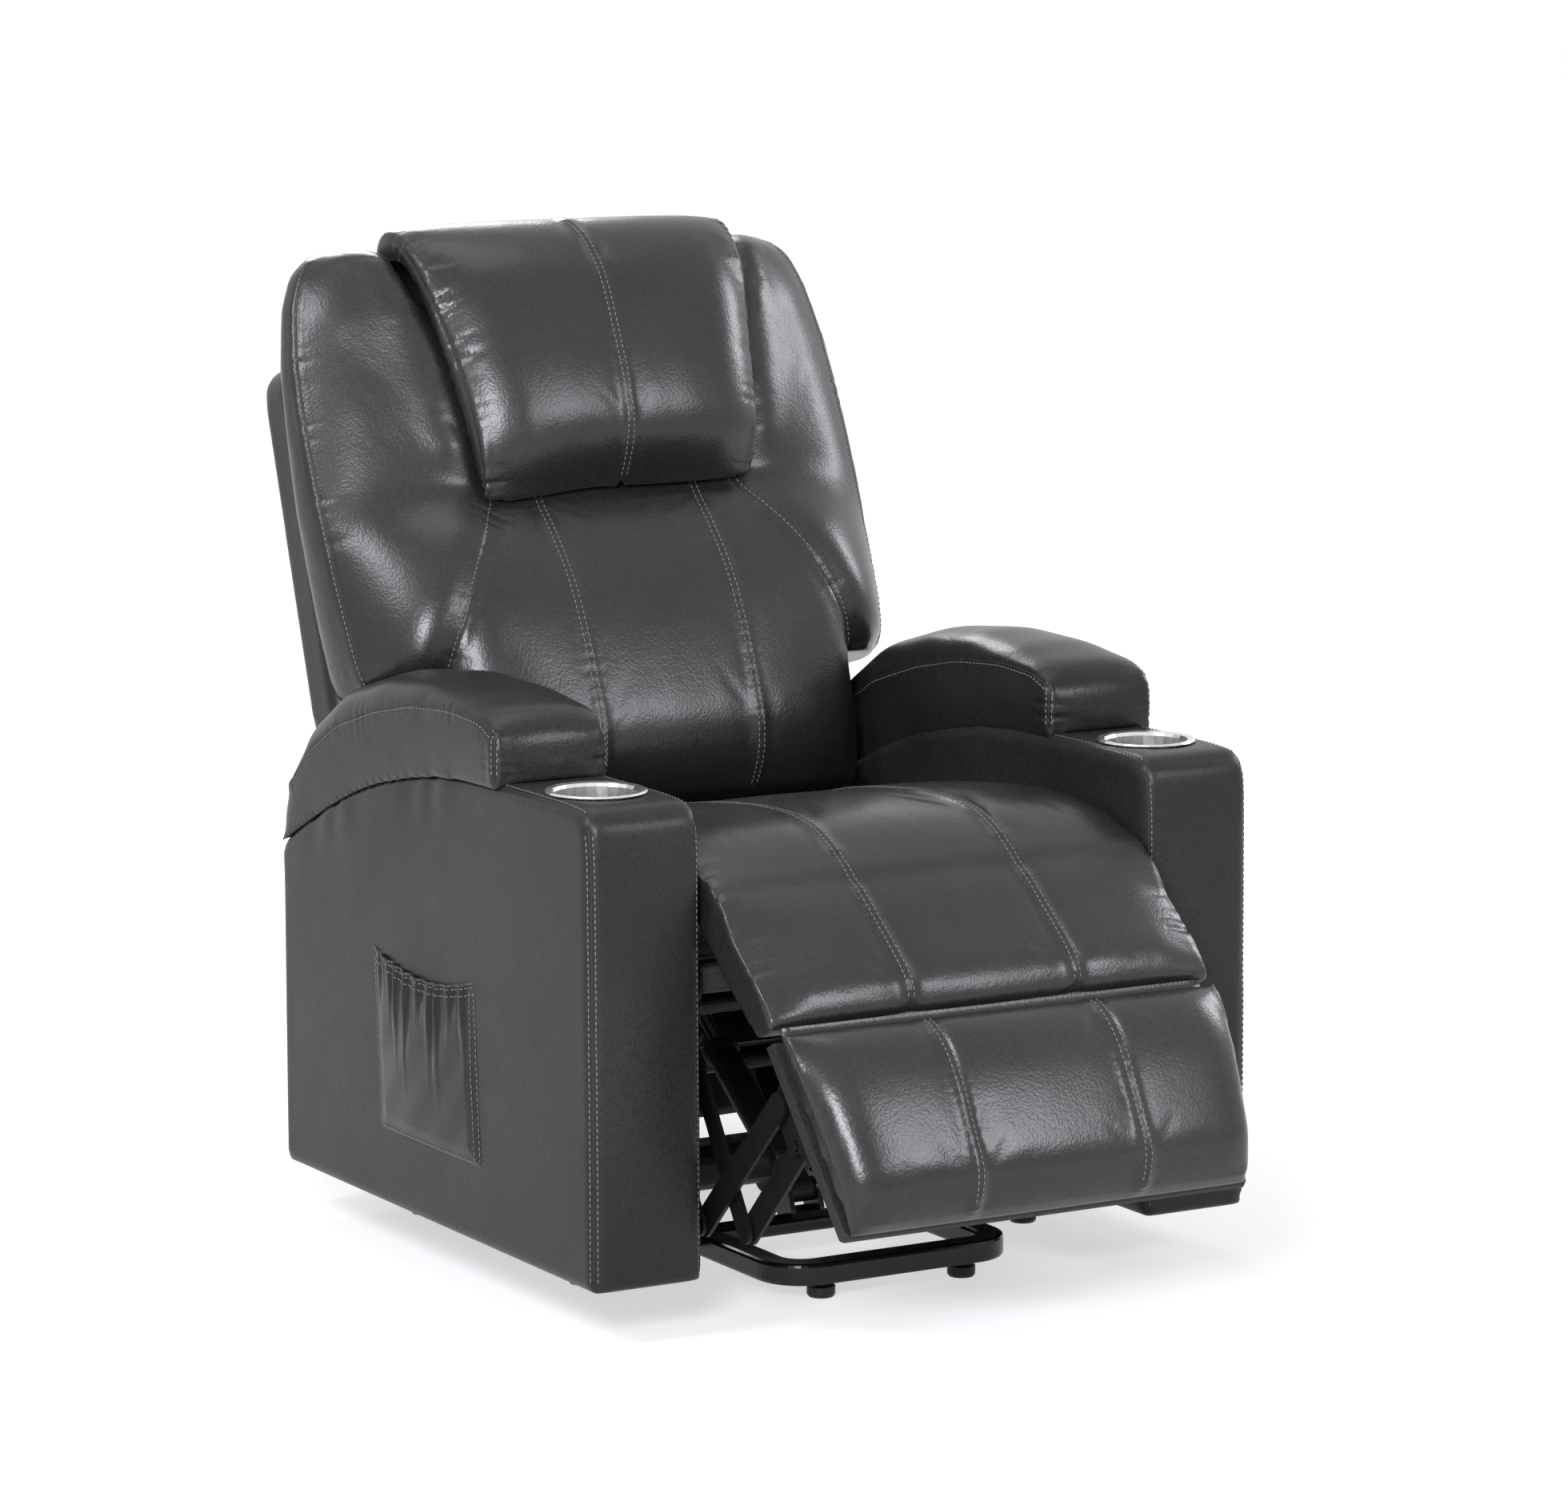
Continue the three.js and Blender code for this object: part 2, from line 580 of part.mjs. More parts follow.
function calfPad() {
  const arc = [40, 90, 140, 180, 210].map((degrees) => {
    const turn = THREE.MathUtils.degToRad(degrees);
    return [-CALF.round * Math.sin(turn), CALF.round * Math.cos(turn)];
  });
  const body = (swell) => slopedAll(PIVOT.calf, CALF_SLOPE, [
    [0, CALF.round], ...arc.slice(0, 2), [-26, -16], [-4, CALF.under], [145, CALF.under, "corner"],
    [156, -6], [CALF.length, 16], [142, 32 + swell], [104, 37 + swell], [50, 37 + swell],
  ]);
  return pad({
    edge: body(-9), middle: body(3), halfWidth: CALF_HALF, channels: [PILLOW_SEAM + 1], draw: 6,
    show: (y, z) => z > PIVOT.calf[1] - 0.79 * (PIVOT.calf[0] - y) + 20 && y < -392, fullness: 6, steps: 4,
  });
}
place("calf_pad", calfPad(), LEATHER);

const BOARD = { length: 222, top: 279, bottom: 251, half: 8, edge: 8.4 };

// A footrest point's share of the board's greatest half width: the board narrows downwards.
function boardTaper(y, z) {
  const down = (PIVOT.board[0] - y) * Math.cos(BOARD_SLOPE) + (PIVOT.board[1] - z) * Math.sin(BOARD_SLOPE);
  const share = THREE.MathUtils.clamp(down / BOARD.length, 0, 1);
  return THREE.MathUtils.lerp(1, BOARD.bottom / BOARD.top, share);
}

function footrestBoard() {
  const outline = slopedAll(PIVOT.board, BOARD_SLOPE, [
    [2, -BOARD.half, "corner"], [BOARD.length - 5, -BOARD.half, "corner"], [BOARD.length, 0],
    [BOARD.length - 5, BOARD.half, "corner"], [2, BOARD.half, "corner"],
  ]);
  return pad({ edge: outline, middle: outline, halfWidth: BOARD.top, steps: 1, widen: boardTaper });
}
place("footrest_board", footrestBoard(), WOOD);

function footrestPad() {
  const body = (swell) => slopedAll(PIVOT.board, BOARD_SLOPE, [
    [4, BOARD.edge, "corner"], [-6, 15], [6, 36 + swell / 2], [30, 49 + swell], [66, 58 + swell], [112, 60 + swell],
    [160, 58 + swell], [192, 54 + swell], [210, 40 + swell / 2], [219, 18], [BOARD.length - 2, BOARD.edge, "corner"],
  ]);
  return pad({
    edge: body(-14), middle: body(6), halfWidth: BOARD.top - 4, channels: [PILLOW_SEAM], draw: 7,
    show: (y, z) => (PIVOT.board[0] - y) * Math.sin(BOARD_SLOPE) - (PIVOT.board[1] - z) * Math.cos(BOARD_SLOPE) > 36,
    widen: boardTaper, fullness: 6, steps: 5,
  });
}
place("footrest_pad", footrestPad(), LEATHER);

// The angle iron under the board that both outer linkage bars are pinned to.
function footrestBracket() {
  const lower = sloped(PIVOT.board, BOARD_SLOPE, [150, -BOARD.half - GAP]);
  const upper = sloped(PIVOT.board, BOARD_SLOPE, [14, -BOARD.half - GAP]);
  const outline = rounded([
    upper, lower, along(PIVOT.bracketLow, lower, 0.2), [PIVOT.bracketLow[0] + 12, PIVOT.bracketLow[1] - 14],
    [PIVOT.bracketTop[0] + 17, PIVOT.bracketTop[1] - 6], [PIVOT.bracketTop[0] + 12, PIVOT.bracketTop[1] + 14],
  ], 6);
  const web = across(outline, PLANE.ottomanFront, PLANE.ottomanFront + BAR);
  const foot = slopedAll(PIVOT.board, BOARD_SLOPE, [
    [14, -BOARD.half - GAP], [150, -BOARD.half - GAP], [150, -BOARD.half - GAP - 4], [14, -BOARD.half - GAP - 4],
  ]).map(([y, z]) => [y, z]);
  const flange = across(rounded(foot, 1), PLANE.ottomanFront - 24, PLANE.ottomanFront + 2, 0, 1);
  const holes = [PIVOT.bracketTop, PIVOT.bracketLow].map((p) => rod(p, LOOSE, 240, 262));
  return cut(join(web, flange), ...holes);
}
pair("footrest_bracket", footrestBracket(), LINK_STEEL);

// ---------------------------------------------------------------- footrest linkage

// Two arms swing on the side plate; the front one crosses the upper bar, and both bars carry the footrest.
pair("ottoman_link_front", link({
  plane: PLANE.ottomanFront,
  ends: [PIVOT.ottomanFront, PIVOT.cross, PIVOT.kneeFront],
  holes: [[PIVOT.cross, SNUG], [PIVOT.kneeFront, SNUG]],
  pins: [[PIVOT.ottomanFront, PLANE.ottomanFront + 3, PLANE.sidePlate + BAR + HEAD]],
}), LINK_STEEL);
pair("ottoman_link_rear", link({
  plane: PLANE.ottomanRear,
  ends: [PIVOT.ottomanRear, PIVOT.kneeRear],
  holes: [[PIVOT.kneeRear, LOOSE]],
  pins: [[PIVOT.ottomanRear, PLANE.ottomanRear + 3, PLANE.sidePlate + BAR + HEAD]],
}), LINK_STEEL);
pair("ottoman_link_upper", link({
  plane: PLANE.ottomanUpper,
  ends: [PIVOT.kneeRear, PIVOT.bracketTop],
  width: 15,
  pins: [
    [PIVOT.kneeRear, PLANE.ottomanUpper + 3, PLANE.ottomanRear + BAR + HEAD],
    [PIVOT.cross, PLANE.ottomanFront - HEAD, PLANE.ottomanUpper + 1],
    [PIVOT.bracketTop, PLANE.ottomanFront - HEAD, PLANE.ottomanUpper + 1],
  ],
}), LINK_STEEL);
pair("ottoman_link_lower", link({
  plane: PLANE.ottomanLower,
  ends: [PIVOT.kneeFront, PIVOT.bracketLow],
  width: 15,
  pins: [
    [PIVOT.kneeFront, PLANE.ottomanLower + 3, PLANE.ottomanFront + BAR + HEAD],
    [PIVOT.bracketLow, PLANE.ottomanLower + 3, PLANE.ottomanFront + BAR + HEAD],
  ],
}), LINK_STEEL);
const torqueEnd = PLANE.ottomanFront - GAP;
place("ottoman_torque_tube", rod(PIVOT.ottomanFront, 11, -torqueEnd, torqueEnd, 18), LINK_STEEL);

// ---------------------------------------------------------------- arms

// The arm's top edge: flat at the cup holder, then falling in one curve under the pad.
const ARM_BACK_CURVE = [[-152, 579], [-50, 575], [8, 568], [67, 557], [148, 537], [230, 507], [304, 474], [362, 446]];

function armOutline(inset) {
  const shape = new THREE.Shape();
  const front = -ARM_HALF_LENGTH + inset;
  const low = inset ? ARM_BOTTOM - 20 : ARM_BOTTOM;
  const corner = 28 - inset;
  const top = ARM_TOP - inset;
  shape.moveTo(front, low);
  shape.lineTo(front + (inset ? 0 : 4), top - corner);
  shape.absarc(front + corner + (inset ? 0 : 4), top - corner, corner, Math.PI, Math.PI / 2, true);
  shape.splineThru(ARM_BACK_CURVE.map(([y, z]) => new THREE.Vector2(y - inset, z - inset)));
  shape.lineTo(ARM_HALF_LENGTH - inset, 430 - inset);
  shape.lineTo(ARM_HALF_LENGTH - inset, low);
  shape.closePath();
  return shape;
}

function arm() {
  const shell = across(armOutline(0), ARM_INNER, ARM_OUTER, 9, 4);
  const inside = across(armOutline(ARM_WALL), ARM_INNER + ARM_WALL, ARM_OUTER - ARM_WALL, 0, 2);
  const hole = turned([[0, 400], [CUP.radius + 1, 400], [CUP.radius + 1, 620], [0, 620]], CUP.x, CUP.y, 24);
  return cut(shell, inside, hole);
}
pair("arm", arm(), LEATHER);

function cupHolder() {
  const { radius, rim, depth, wall, x, y } = CUP;
  const seat = ARM_TOP + GAP;
  const floor = seat - depth;
  const profile = [
    [0, floor], [radius - 8, floor], [radius, floor + 8], [radius, seat], [rim - 1, seat], [rim, seat + 1.5],
    [rim - 2, seat + 3.5], [radius + 1, seat + 2.5], [radius - wall, seat - 1], [radius - wall, floor + 9],
    [radius - 9, floor + wall], [0, floor + wall],
  ];
  return turned(profile, x, y, 24);
}
pair("cup_holder", cupHolder(), BRIGHT_STEEL);

// The pad's underside follows the arm's top edge, and its crown stands on a lower side seam.
function armPad() {
  const under = ARM_BACK_CURVE.slice(1, -1).map(([y, z]) => [y, z - 3]);
  const seam = [[-162, 634], [-132, 646], [-60, 649], [30, 642], [120, 624], [217, 595], [288, 556], [341, 508]];
  const crown = [[-171, 636], [-146, 656], [-66, 670], [34, 674], [131, 664], [234, 636], [310, 588], [355, 520]];
  const body = (top, front, rear) => [
    [front, 577, "corner"], ...under, [363, 440, "corner"], [rear, 462], ...[...top].reverse(), [front - 1, 612],
  ];
  const made = pad({
    edge: body(seam, -165, 367), middle: body(crown, -175, 370), halfWidth: 71, fullness: 2.4, steps: 4, fine: 1,
  });
  const placed = made.translate([(ARM_INNER + ARM_OUTER) / 2 + 3.5, 0, 0]);
  return cut(placed, across(armOutline(-GAP), ARM_INNER - 20, ARM_OUTER + 20, 0, 4));
}
pair("arm_pad", armPad(), LEATHER);

// A gathered pouch on the outer side of the sitter's right arm, open at the top.
function sidePocket() {
  const { front, back, top, bottom, depth, skin, slant, sag } = POCKET;
  const gathers = 11;
  const columns = 2 * gathers;
  const face = -ARM_OUTER - GAP;
  const bulge = (s, t) => {
    const fullnessDown = Math.sin(Math.PI * Math.min(1, 0.12 + 0.86 * t)) ** 0.5;
    const acrossFace = Math.sin(Math.PI * THREE.MathUtils.clamp(s, 0, 1)) ** 0.35;
    const folds = 1.2 * Math.cos(2 * Math.PI * gathers * s) * t ** 2;
    return skin + (depth + folds) * fullnessDown * acrossFace;
  };
  const hem = (s) => top - sag * Math.sin(Math.PI * s) ** 0.8;
  const rings = (inside) => [0, 0.2, 0.45, 0.7, 0.9, 1].map((t) => {
    const inset = inside ? skin : 0;
    const points = Array.from({ length: columns + 1 }, (_, i) => {
      const s = i / columns;
      const y = THREE.MathUtils.lerp(front + inset, back - inset, s) - slant * (1 - t);
      const high = inside ? top + 20 : hem(s);
      const z = THREE.MathUtils.lerp(bottom + inset * 2, high, t);
      return [face - Math.max(0.6, bulge(s, inside ? Math.min(t, 0.9) : t) - inset), y, z];
    });
    const flat = inside ? face + 1 : face;
    const wall = [points.at(-1), points[0]].map(([, y, z]) => [flat, y, z]);
    return [...points, ...wall];
  });
  return cut(loft(rings(false), 2), loft(rings(true), 2));
}
place("side_pocket", sidePocket(), LEATHER);

place("rear_skirt", across(
  rounded([[362, 50], [367, 50], [367, 300], [362, 300]], 1.5), GAP - ARM_INNER, ARM_INNER - GAP, 0, 1,
), LEATHER);

// ---------------------------------------------------------------- backrest

// The backrest is built upright about its hinge and leans back as one group.
const backrest = new THREE.Group();
backrest.position.set(0, ...PIVOT.back);
backrest.rotation.x = -BACK_LEAN;
chair.add(backrest);

const BACK = { face: 148, shell: 149, rear: 222, shellTop: 620, shellLow: 156, wingLow: 202, wingTop: 738 };

// Half width of the centre cushion: straight between the arms, drawn in along the curved wing seam, and
// wide again under the head pillow.
function backHalf(height) {
  const rise = THREE.MathUtils.clamp(height - 185, 0, 232);
  const top = THREE.MathUtils.smoothstep(height, 600, 665);
  return Math.min(BACK_HALF, 270 - 0.0314 * rise ** 1.5 + 66 * top);
}

// Reads a list of [height, value] pairs at any height, along straight lines between them.
const table = (rows) => (height) => {
  const above = rows.findIndex(([z]) => z >= height);
  if (above === 0) return rows[0][1];
  if (above < 0) return rows.at(-1)[1];
  const [low, high] = [rows[above - 1], rows[above]];
  return THREE.MathUtils.lerp(low[1], high[1], (height - low[0]) / (high[0] - low[0]));
};

// How far forward the curved seams between cushion and wings lie, up the back.
const seamDepth = table([
  [42, 42], [80, 33], [145, 28], [180, 25], [203, 19], [233, 2], [258, -7], [287, -11], [312, -10], [340, -6],
  [370, 4], [394, 19], [410, 32], [430, 40], [560, 44], [640, 62], [699, 88], [738, 104],
]);

// The lumbar cushion bulges over the seat, and its two sewn channels run straight up between the wings.
function backCushion() {
  const heights = [42, 46, 56, 74, 95, 120, 150, 180, 215, 250, 285, 320, 350, 378, 402, 430, 480, 540, 600, 640, 672, 690, 699];
  const front = table([
    [42, 30], [46, 14], [56, -2], [74, -19], [95, -32], [120, -39], [150, -40], [180, -38], [215, -35], [250, -30],
    [285, -23], [320, -12], [350, 1], [378, 14], [402, 28], [430, 40], [480, 46], [540, 50], [600, 55], [640, 61],
    [672, 75], [690, 97], [699, 127],
  ]);
  const row = stations(BACK_HALF, [PILLOW_SEAM], 5);
  const straight = PILLOW_SEAM + CHANNEL;
  const rings = heights.map((height) => {
    const squeeze = (backHalf(height) - straight) / (BACK_HALF - straight);
    const out = (x) => Math.min(Math.abs(x), straight) + Math.max(0, Math.abs(x) - straight) * squeeze;
    const depth = 4 * THREE.MathUtils.smoothstep(height, 50, 90) * (1 - THREE.MathUtils.smoothstep(height, 410, 430));
    const fall = Math.max(4, seamDepth(height) - front(height));
    const face = row.map((x) => {
      const round = 1 - Math.sqrt(1 - Math.abs(x / BACK_HALF) ** 4);
      const channel = depth * Math.exp(-1.5 * ((Math.abs(x) - PILLOW_SEAM) / CHANNEL) ** 2);
      return [Math.sign(x) * out(x), Math.min(BACK.face - 6, front(height) + fall * round + channel), height];
    });
    const half = backHalf(height);
    return [...face, [half, BACK.face, height], [-half, BACK.face, height]];
  });
  return loft(rings, 2);
}
place("back_cushion", backCushion(), LEATHER, backrest);

// A wing swells from the curved seam out to its piped front edge, then turns back along its side.
function backWing() {
  const outer = table([
    [200, 346], [235, 353], [273, 357], [344, 361], [437, 364], [526, 362], [603, 357], [672, 344], [710, 329], [738, 304],
  ]);
  const edge = table([
    [200, 66], [235, 65], [273, 67], [344, 75], [437, 83], [526, 92], [603, 100], [672, 106], [710, 108], [738, 116],
  ]);
  const heights = [BACK.wingLow, 206, 215, 233, 258, 287, 320, 350, 378, 402, 430, 480, 540, 600, 640, 672, 692, 712, 728,
    BACK.wingTop];
  const rings = heights.map((height) => {
    const end = Math.min(height - BACK.wingLow, BACK.wingTop - height);
    const tuck = 13 * (1 - Math.min(1, end / 20)) ** 2;
    const inside = backHalf(height) + 1.5 + tuck * 0.3;
    const x = (share) => THREE.MathUtils.lerp(inside, outer(height) - tuck, share);
    const face = (share) => {
      const swell = 15 * Math.sin(Math.PI * share) ** 0.8;
      return THREE.MathUtils.lerp(seamDepth(height), edge(height), share ** 1.5) - swell + tuck;
    };
    const front = [0, 0.12, 0.3, 0.5, 0.7, 0.88, 1].map((share) => [x(share), face(share), height]);
    const side = [0.12, 0.4, 0.75].map((share) => [
      x(1) + 7 * Math.sin(Math.PI * share), THREE.MathUtils.lerp(face(1), BACK.face - 4, share), height,
    ]);
    return [...front, ...side, [x(1) - 1, BACK.face, height], [inside, BACK.face, height]];
  });
  return loft(rings, 2);
}
pair("back_wing", backWing(), LEATHER, backrest);

// The head pillow hangs over the top of the back, and narrows downwards.
function headPillow() {
  const middle = [
    [24, 414], [4, 438], [-20, 478], [-33, 530], [-33, 590], [-21, 650], [6, 708], [44, 745], [84, 758], [120, 746],
    [138, 718], [134, 702], [122, 712], [88, 712], [58, 694], [40, 640], [32, 560], [30, 480],
  ];
  const edge = [
    [24, 424], [13, 444], [7, 480], [5, 530], [9, 590], [20, 646], [42, 700], [66, 736], [90, 751], [116, 742],
    [130, 716], [130, 706], [118, 712], [90, 716], [62, 700], [42, 640], [28, 560], [26, 480],
  ];
  const half = 224;
  return pad({
    edge, middle, halfWidth: half, channels: [0], draw: 6, show: (y, z) => y < 60, fullness: 3.4, steps: 5, fine: 2,
    widen: (y, z) => THREE.MathUtils.lerp(179, half, THREE.MathUtils.clamp((z - 420) / 320, 0, 1)) / half,
  });
}
place("head_pillow", headPillow(), LEATHER, backrest);

// The padded outer back: a board with rounded top corners and a narrow tongue between the arms.
function backShell() {
  const { shell, rear, shellTop, shellLow } = BACK;
  const edge = 12;
  const outline = rounded([
    [-SHELL_HALF, shellLow], [SHELL_HALF, shellLow], [SHELL_HALF, shellTop], [-SHELL_HALF, shellTop],
  ], 44);
  const main = new THREE.ExtrudeGeometry(outline, {
    depth: rear - shell - 2 * edge, bevelThickness: edge, bevelSize: edge, bevelOffset: -edge, bevelSegments: 3,
    curveSegments: 4,
  });
  main.rotateX(Math.PI / 2);
  main.translate(0, rear - edge, 0);
  const tongue = across(rounded([[shell + 4, 40], [216, 48], [216, 190], [shell + 4, 190]], 8), -262, 262, 4, 2);
  return join(solid(main), tongue);
}
place("back_shell", backShell(), LEATHER, backrest);

// The steel bracket from the hinge to the back, with a tail below that the recline rod pulls.
const inBackFrame = ([y, z]) => {
  const [dy, dz] = [y - PIVOT.back[0], z - PIVOT.back[1]];
  return [
    dy * Math.cos(BACK_LEAN) - dz * Math.sin(BACK_LEAN),
    dy * Math.sin(BACK_LEAN) + dz * Math.cos(BACK_LEAN),
  ];
};
function backBracket() {
  const drive = inBackFrame(PIVOT.backDrive);
  const { backBracket: plane } = PLANE;
  const tail = across(bar([0, 0], drive, 17), plane, plane + BAR - 0.5);
  const blade = across(rounded([
    [-14, -14], [18, -16], [206, 66], [206, 148], [158, 148], [-6, 20],
  ], 14), plane, plane + BAR - 0.5);
  const hinge = rod([0, 0], PIN, plane + 2, PLANE.sidePlate + BAR + HEAD, 12);
  const bolts = [[178, 76], [192, 124]].map((p) => rod(p, 7, 262 + GAP, plane + 2, 12));
  return cut(join(tail, blade, hinge, ...bolts), rod(drive, 9 + GAP, plane - 1, plane + 6, 18));
}
pair("back_bracket", backBracket(), LINK_STEEL, backrest);
const driveEnd = PLANE.backBracket + BAR;
place("back_drive_tube", rod(PIVOT.backDrive, 9, -driveEnd, driveEnd, 18), LINK_STEEL);

// ---------------------------------------------------------------- origin

// The origin is on the floor under the middle of the chair's box as it stands with the footrest half out.
const REST_FRONT = -651;
const REST_BACK = 569;
chair.position.y = -(REST_FRONT + REST_BACK) / 2;

export default chair;
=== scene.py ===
"""The recliner armchair's looks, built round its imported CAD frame: covers, seams, stitches, metal and light.

Lengths are metres in the row frame. mm(), back_mm() and slope_point() take millimetres, as the CAD does.
"""

import json
import math

import bmesh
import bpy
import numpy as np
from mathutils import Matrix, Vector
from mathutils.bvhtree import BVHTree


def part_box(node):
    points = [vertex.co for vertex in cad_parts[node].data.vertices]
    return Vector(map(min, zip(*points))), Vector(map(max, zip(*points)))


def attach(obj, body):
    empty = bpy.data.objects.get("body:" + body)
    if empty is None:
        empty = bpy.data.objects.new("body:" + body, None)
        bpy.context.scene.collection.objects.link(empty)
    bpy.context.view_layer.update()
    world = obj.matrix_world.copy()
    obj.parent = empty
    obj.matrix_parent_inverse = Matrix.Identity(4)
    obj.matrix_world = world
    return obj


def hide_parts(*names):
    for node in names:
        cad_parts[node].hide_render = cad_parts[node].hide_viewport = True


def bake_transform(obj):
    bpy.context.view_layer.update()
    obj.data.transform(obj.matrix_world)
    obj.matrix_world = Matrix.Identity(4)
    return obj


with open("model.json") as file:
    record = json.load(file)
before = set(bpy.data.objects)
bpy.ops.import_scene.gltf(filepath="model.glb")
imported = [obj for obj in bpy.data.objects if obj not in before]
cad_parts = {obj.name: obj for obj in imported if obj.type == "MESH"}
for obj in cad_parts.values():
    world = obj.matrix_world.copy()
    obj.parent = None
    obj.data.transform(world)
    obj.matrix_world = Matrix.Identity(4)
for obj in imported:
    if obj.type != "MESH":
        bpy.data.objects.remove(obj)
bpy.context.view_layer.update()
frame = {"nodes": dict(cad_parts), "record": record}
NODES = frame["nodes"]
SHIFT = 0.041  # the y of the arms' middle, from which the millimetre sizes below count theirs


# ---- camera, light and floor

PHOTO_SIZE = (1960, 1876)
FOCAL_PX = 7432.86  # of the camera fitted to the photograph
AIM = Vector((0, SHIFT, 0.5))
AIM_PX = (946.79, 1003.17)  # where AIM is seen in the photograph
CAMERA_TURN, CAMERA_RISE, CAMERA_DISTANCE = -30.33, 8.97, 6.76927
SENSOR_MM = 36
COOL = (0.945, 0.955, 1.04)
WHITE = (1, 1, 1)
LAMP_AIM = Vector((0, 0, 0.6))
LAMPS = [  # name, degrees round from the front, degrees up, distance, width and height, radiance, tint
    ("key", -41, 21, 4.2, (1.4, 1.4), 34, COOL),
    ("edge", -84, 42, 4.2, (0.9, 1.5), 22, COOL),
    ("front", 24, 24, 4.2, (1.6, 1.2), 13, COOL),
    ("side_right", 96, 22, 3.8, (0.7, 1.3), 12, COOL),
    ("top", 180, 82, 2.9, (2.0, 1.5), 1.6, WHITE),
    ("rear", 165, 30, 4.0, (1.5, 1.2), 8, WHITE),
]
WORLD_LIGHT = 0.25  # the even light from all round that the camera doesn't see
FLOOR_RADIUS, FLOOR_DROP = 60, 0.0006
# The floor's glow for seen rays rises outward, so that the chair's shadow fades into plain white.
SHADOW_RING = {"From_Min": 0.4, "From_Max": 1.9, "To_Min": 0.62, "To_Max": 0.905}


def outward(turn, rise):
    """The direction TURN degrees round from the chair's front and RISE degrees up."""
    turn, rise = math.radians(turn), math.radians(rise)
    return Vector((math.sin(turn) * math.cos(rise), -math.cos(turn) * math.cos(rise), math.sin(rise)))


def make_camera():
    back = outward(CAMERA_TURN, CAMERA_RISE)
    turn = math.radians(CAMERA_TURN)
    right = Vector((math.cos(turn), math.sin(turn), 0))
    up = back.cross(right)
    place = AIM + back * CAMERA_DISTANCE
    place -= right * ((AIM_PX[0] - PHOTO_SIZE[0] / 2) / FOCAL_PX * CAMERA_DISTANCE)
    place += up * ((AIM_PX[1] - PHOTO_SIZE[1] / 2) / FOCAL_PX * CAMERA_DISTANCE)
    data = bpy.data.cameras.new("camera")
    data.sensor_width = SENSOR_MM
    data.lens = FOCAL_PX / PHOTO_SIZE[0] * SENSOR_MM
    data.clip_end = 200
    camera = bpy.data.objects.new("camera", data)
    camera.matrix_world = Matrix.Translation(place) @ Matrix((right, up, back)).transposed().to_4x4()
    bpy.context.scene.collection.objects.link(camera)
    bpy.context.scene.camera = camera


def softbox(name, turn, rise, distance, size, radiance, tint):
    """A soft lamp aimed at the chair, TURN degrees round from its front and RISE degrees up."""
    data = bpy.data.lights.new(name, "AREA")
    data.shape = "ELLIPSE"
    data.size, data.size_y = size
    data.energy = radiance * math.pi * (math.pi / 4 * size[0] * size[1])
    data.color = tint
    lamp = bpy.data.objects.new(name, data)
    away = outward(turn, rise)
    lamp.location = LAMP_AIM + away * distance
    lamp.rotation_euler = (-away).to_track_quat("-Z", "Y").to_euler()
    bpy.context.scene.collection.objects.link(lamp)


class Tree:
    """Short calls for building a node tree."""

    def __init__(self, tree, keep=False):
        self.tree = tree
        if not keep:
            tree.nodes.clear()

    def add(self, kind, **values):
        node = self.tree.nodes.new(kind)
        for key, value in values.items():
            if hasattr(node, key):
                setattr(node, key, value)
            else:
                node.inputs[key.replace("_", " ")].default_value = value
        return node

    def link(self, output, node, key):
        self.tree.links.new(output, node.inputs[key])

    def seen_or_not(self, unseen, seen, out):
        """SEEN for camera, glossy and transmission rays, which show the white, and UNSEEN for the light."""
        path = self.add("ShaderNodeLightPath")
        found = path.outputs["Is Camera Ray"]
        for kind in ("Is Glossy Ray", "Is Transmission Ray"):
            either = self.add("ShaderNodeMath", operation="MAXIMUM")
            self.link(found, either, 0)
            self.link(path.outputs[kind], either, 1)
            found = either.outputs[0]
        mix = self.add("ShaderNodeMixShader")
        for key, output in enumerate((found, unseen.outputs[0], seen.outputs[0])):
            self.link(output, mix, key)
        self.link(mix.outputs[0], self.add(out), 0)


def studio():
    world = bpy.data.worlds.new("world")
    bpy.context.scene.world = world
    world.use_nodes = True
    t = Tree(world.node_tree)
    light = t.add("ShaderNodeBackground", Color=(0.96, 0.98, 1, 1), Strength=WORLD_LIGHT)
    white = t.add("ShaderNodeBackground", Color=(1, 1, 1, 1), Strength=1.0)
    t.seen_or_not(light, white, "ShaderNodeOutputWorld")
    for lamp in LAMPS:
        softbox(*lamp)
    bpy.ops.mesh.primitive_circle_add(vertices=96, radius=FLOOR_RADIUS, fill_type="NGON")
    floor = bpy.context.object
    floor.name = "floor"
    floor.location.z = -FLOOR_DROP
    floor.data.materials.append(floor_material())


def floor_material():
    """White to the eye but for the chair's shadow, and plain pale paint to the light."""
    material = bpy.data.materials.new("floor_white")
    material.use_nodes = True
    t = Tree(material.node_tree)
    paint = t.add("ShaderNodeBsdfDiffuse", Color=(0.8, 0.8, 0.8, 1))
    shadow = t.add("ShaderNodeBsdfDiffuse", Color=(0.45, 0.45, 0.45, 1))
    glow = t.add("ShaderNodeEmission", Color=(1, 1, 1, 1))
    far = t.add("ShaderNodeVectorMath", operation="LENGTH")
    t.link(t.add("ShaderNodeTexCoord").outputs["Object"], far, 0)
    ring = t.add("ShaderNodeMapRange", **SHADOW_RING)
    t.link(far.outputs["Value"], ring, "Value")
    t.link(ring.outputs[0], glow, "Strength")
    shown = t.add("ShaderNodeAddShader")
    t.link(shadow.outputs[0], shown, 0)
    t.link(glow.outputs[0], shown, 1)
    t.seen_or_not(paint, shown, "ShaderNodeOutputMaterial")
    return material


# ---- materials

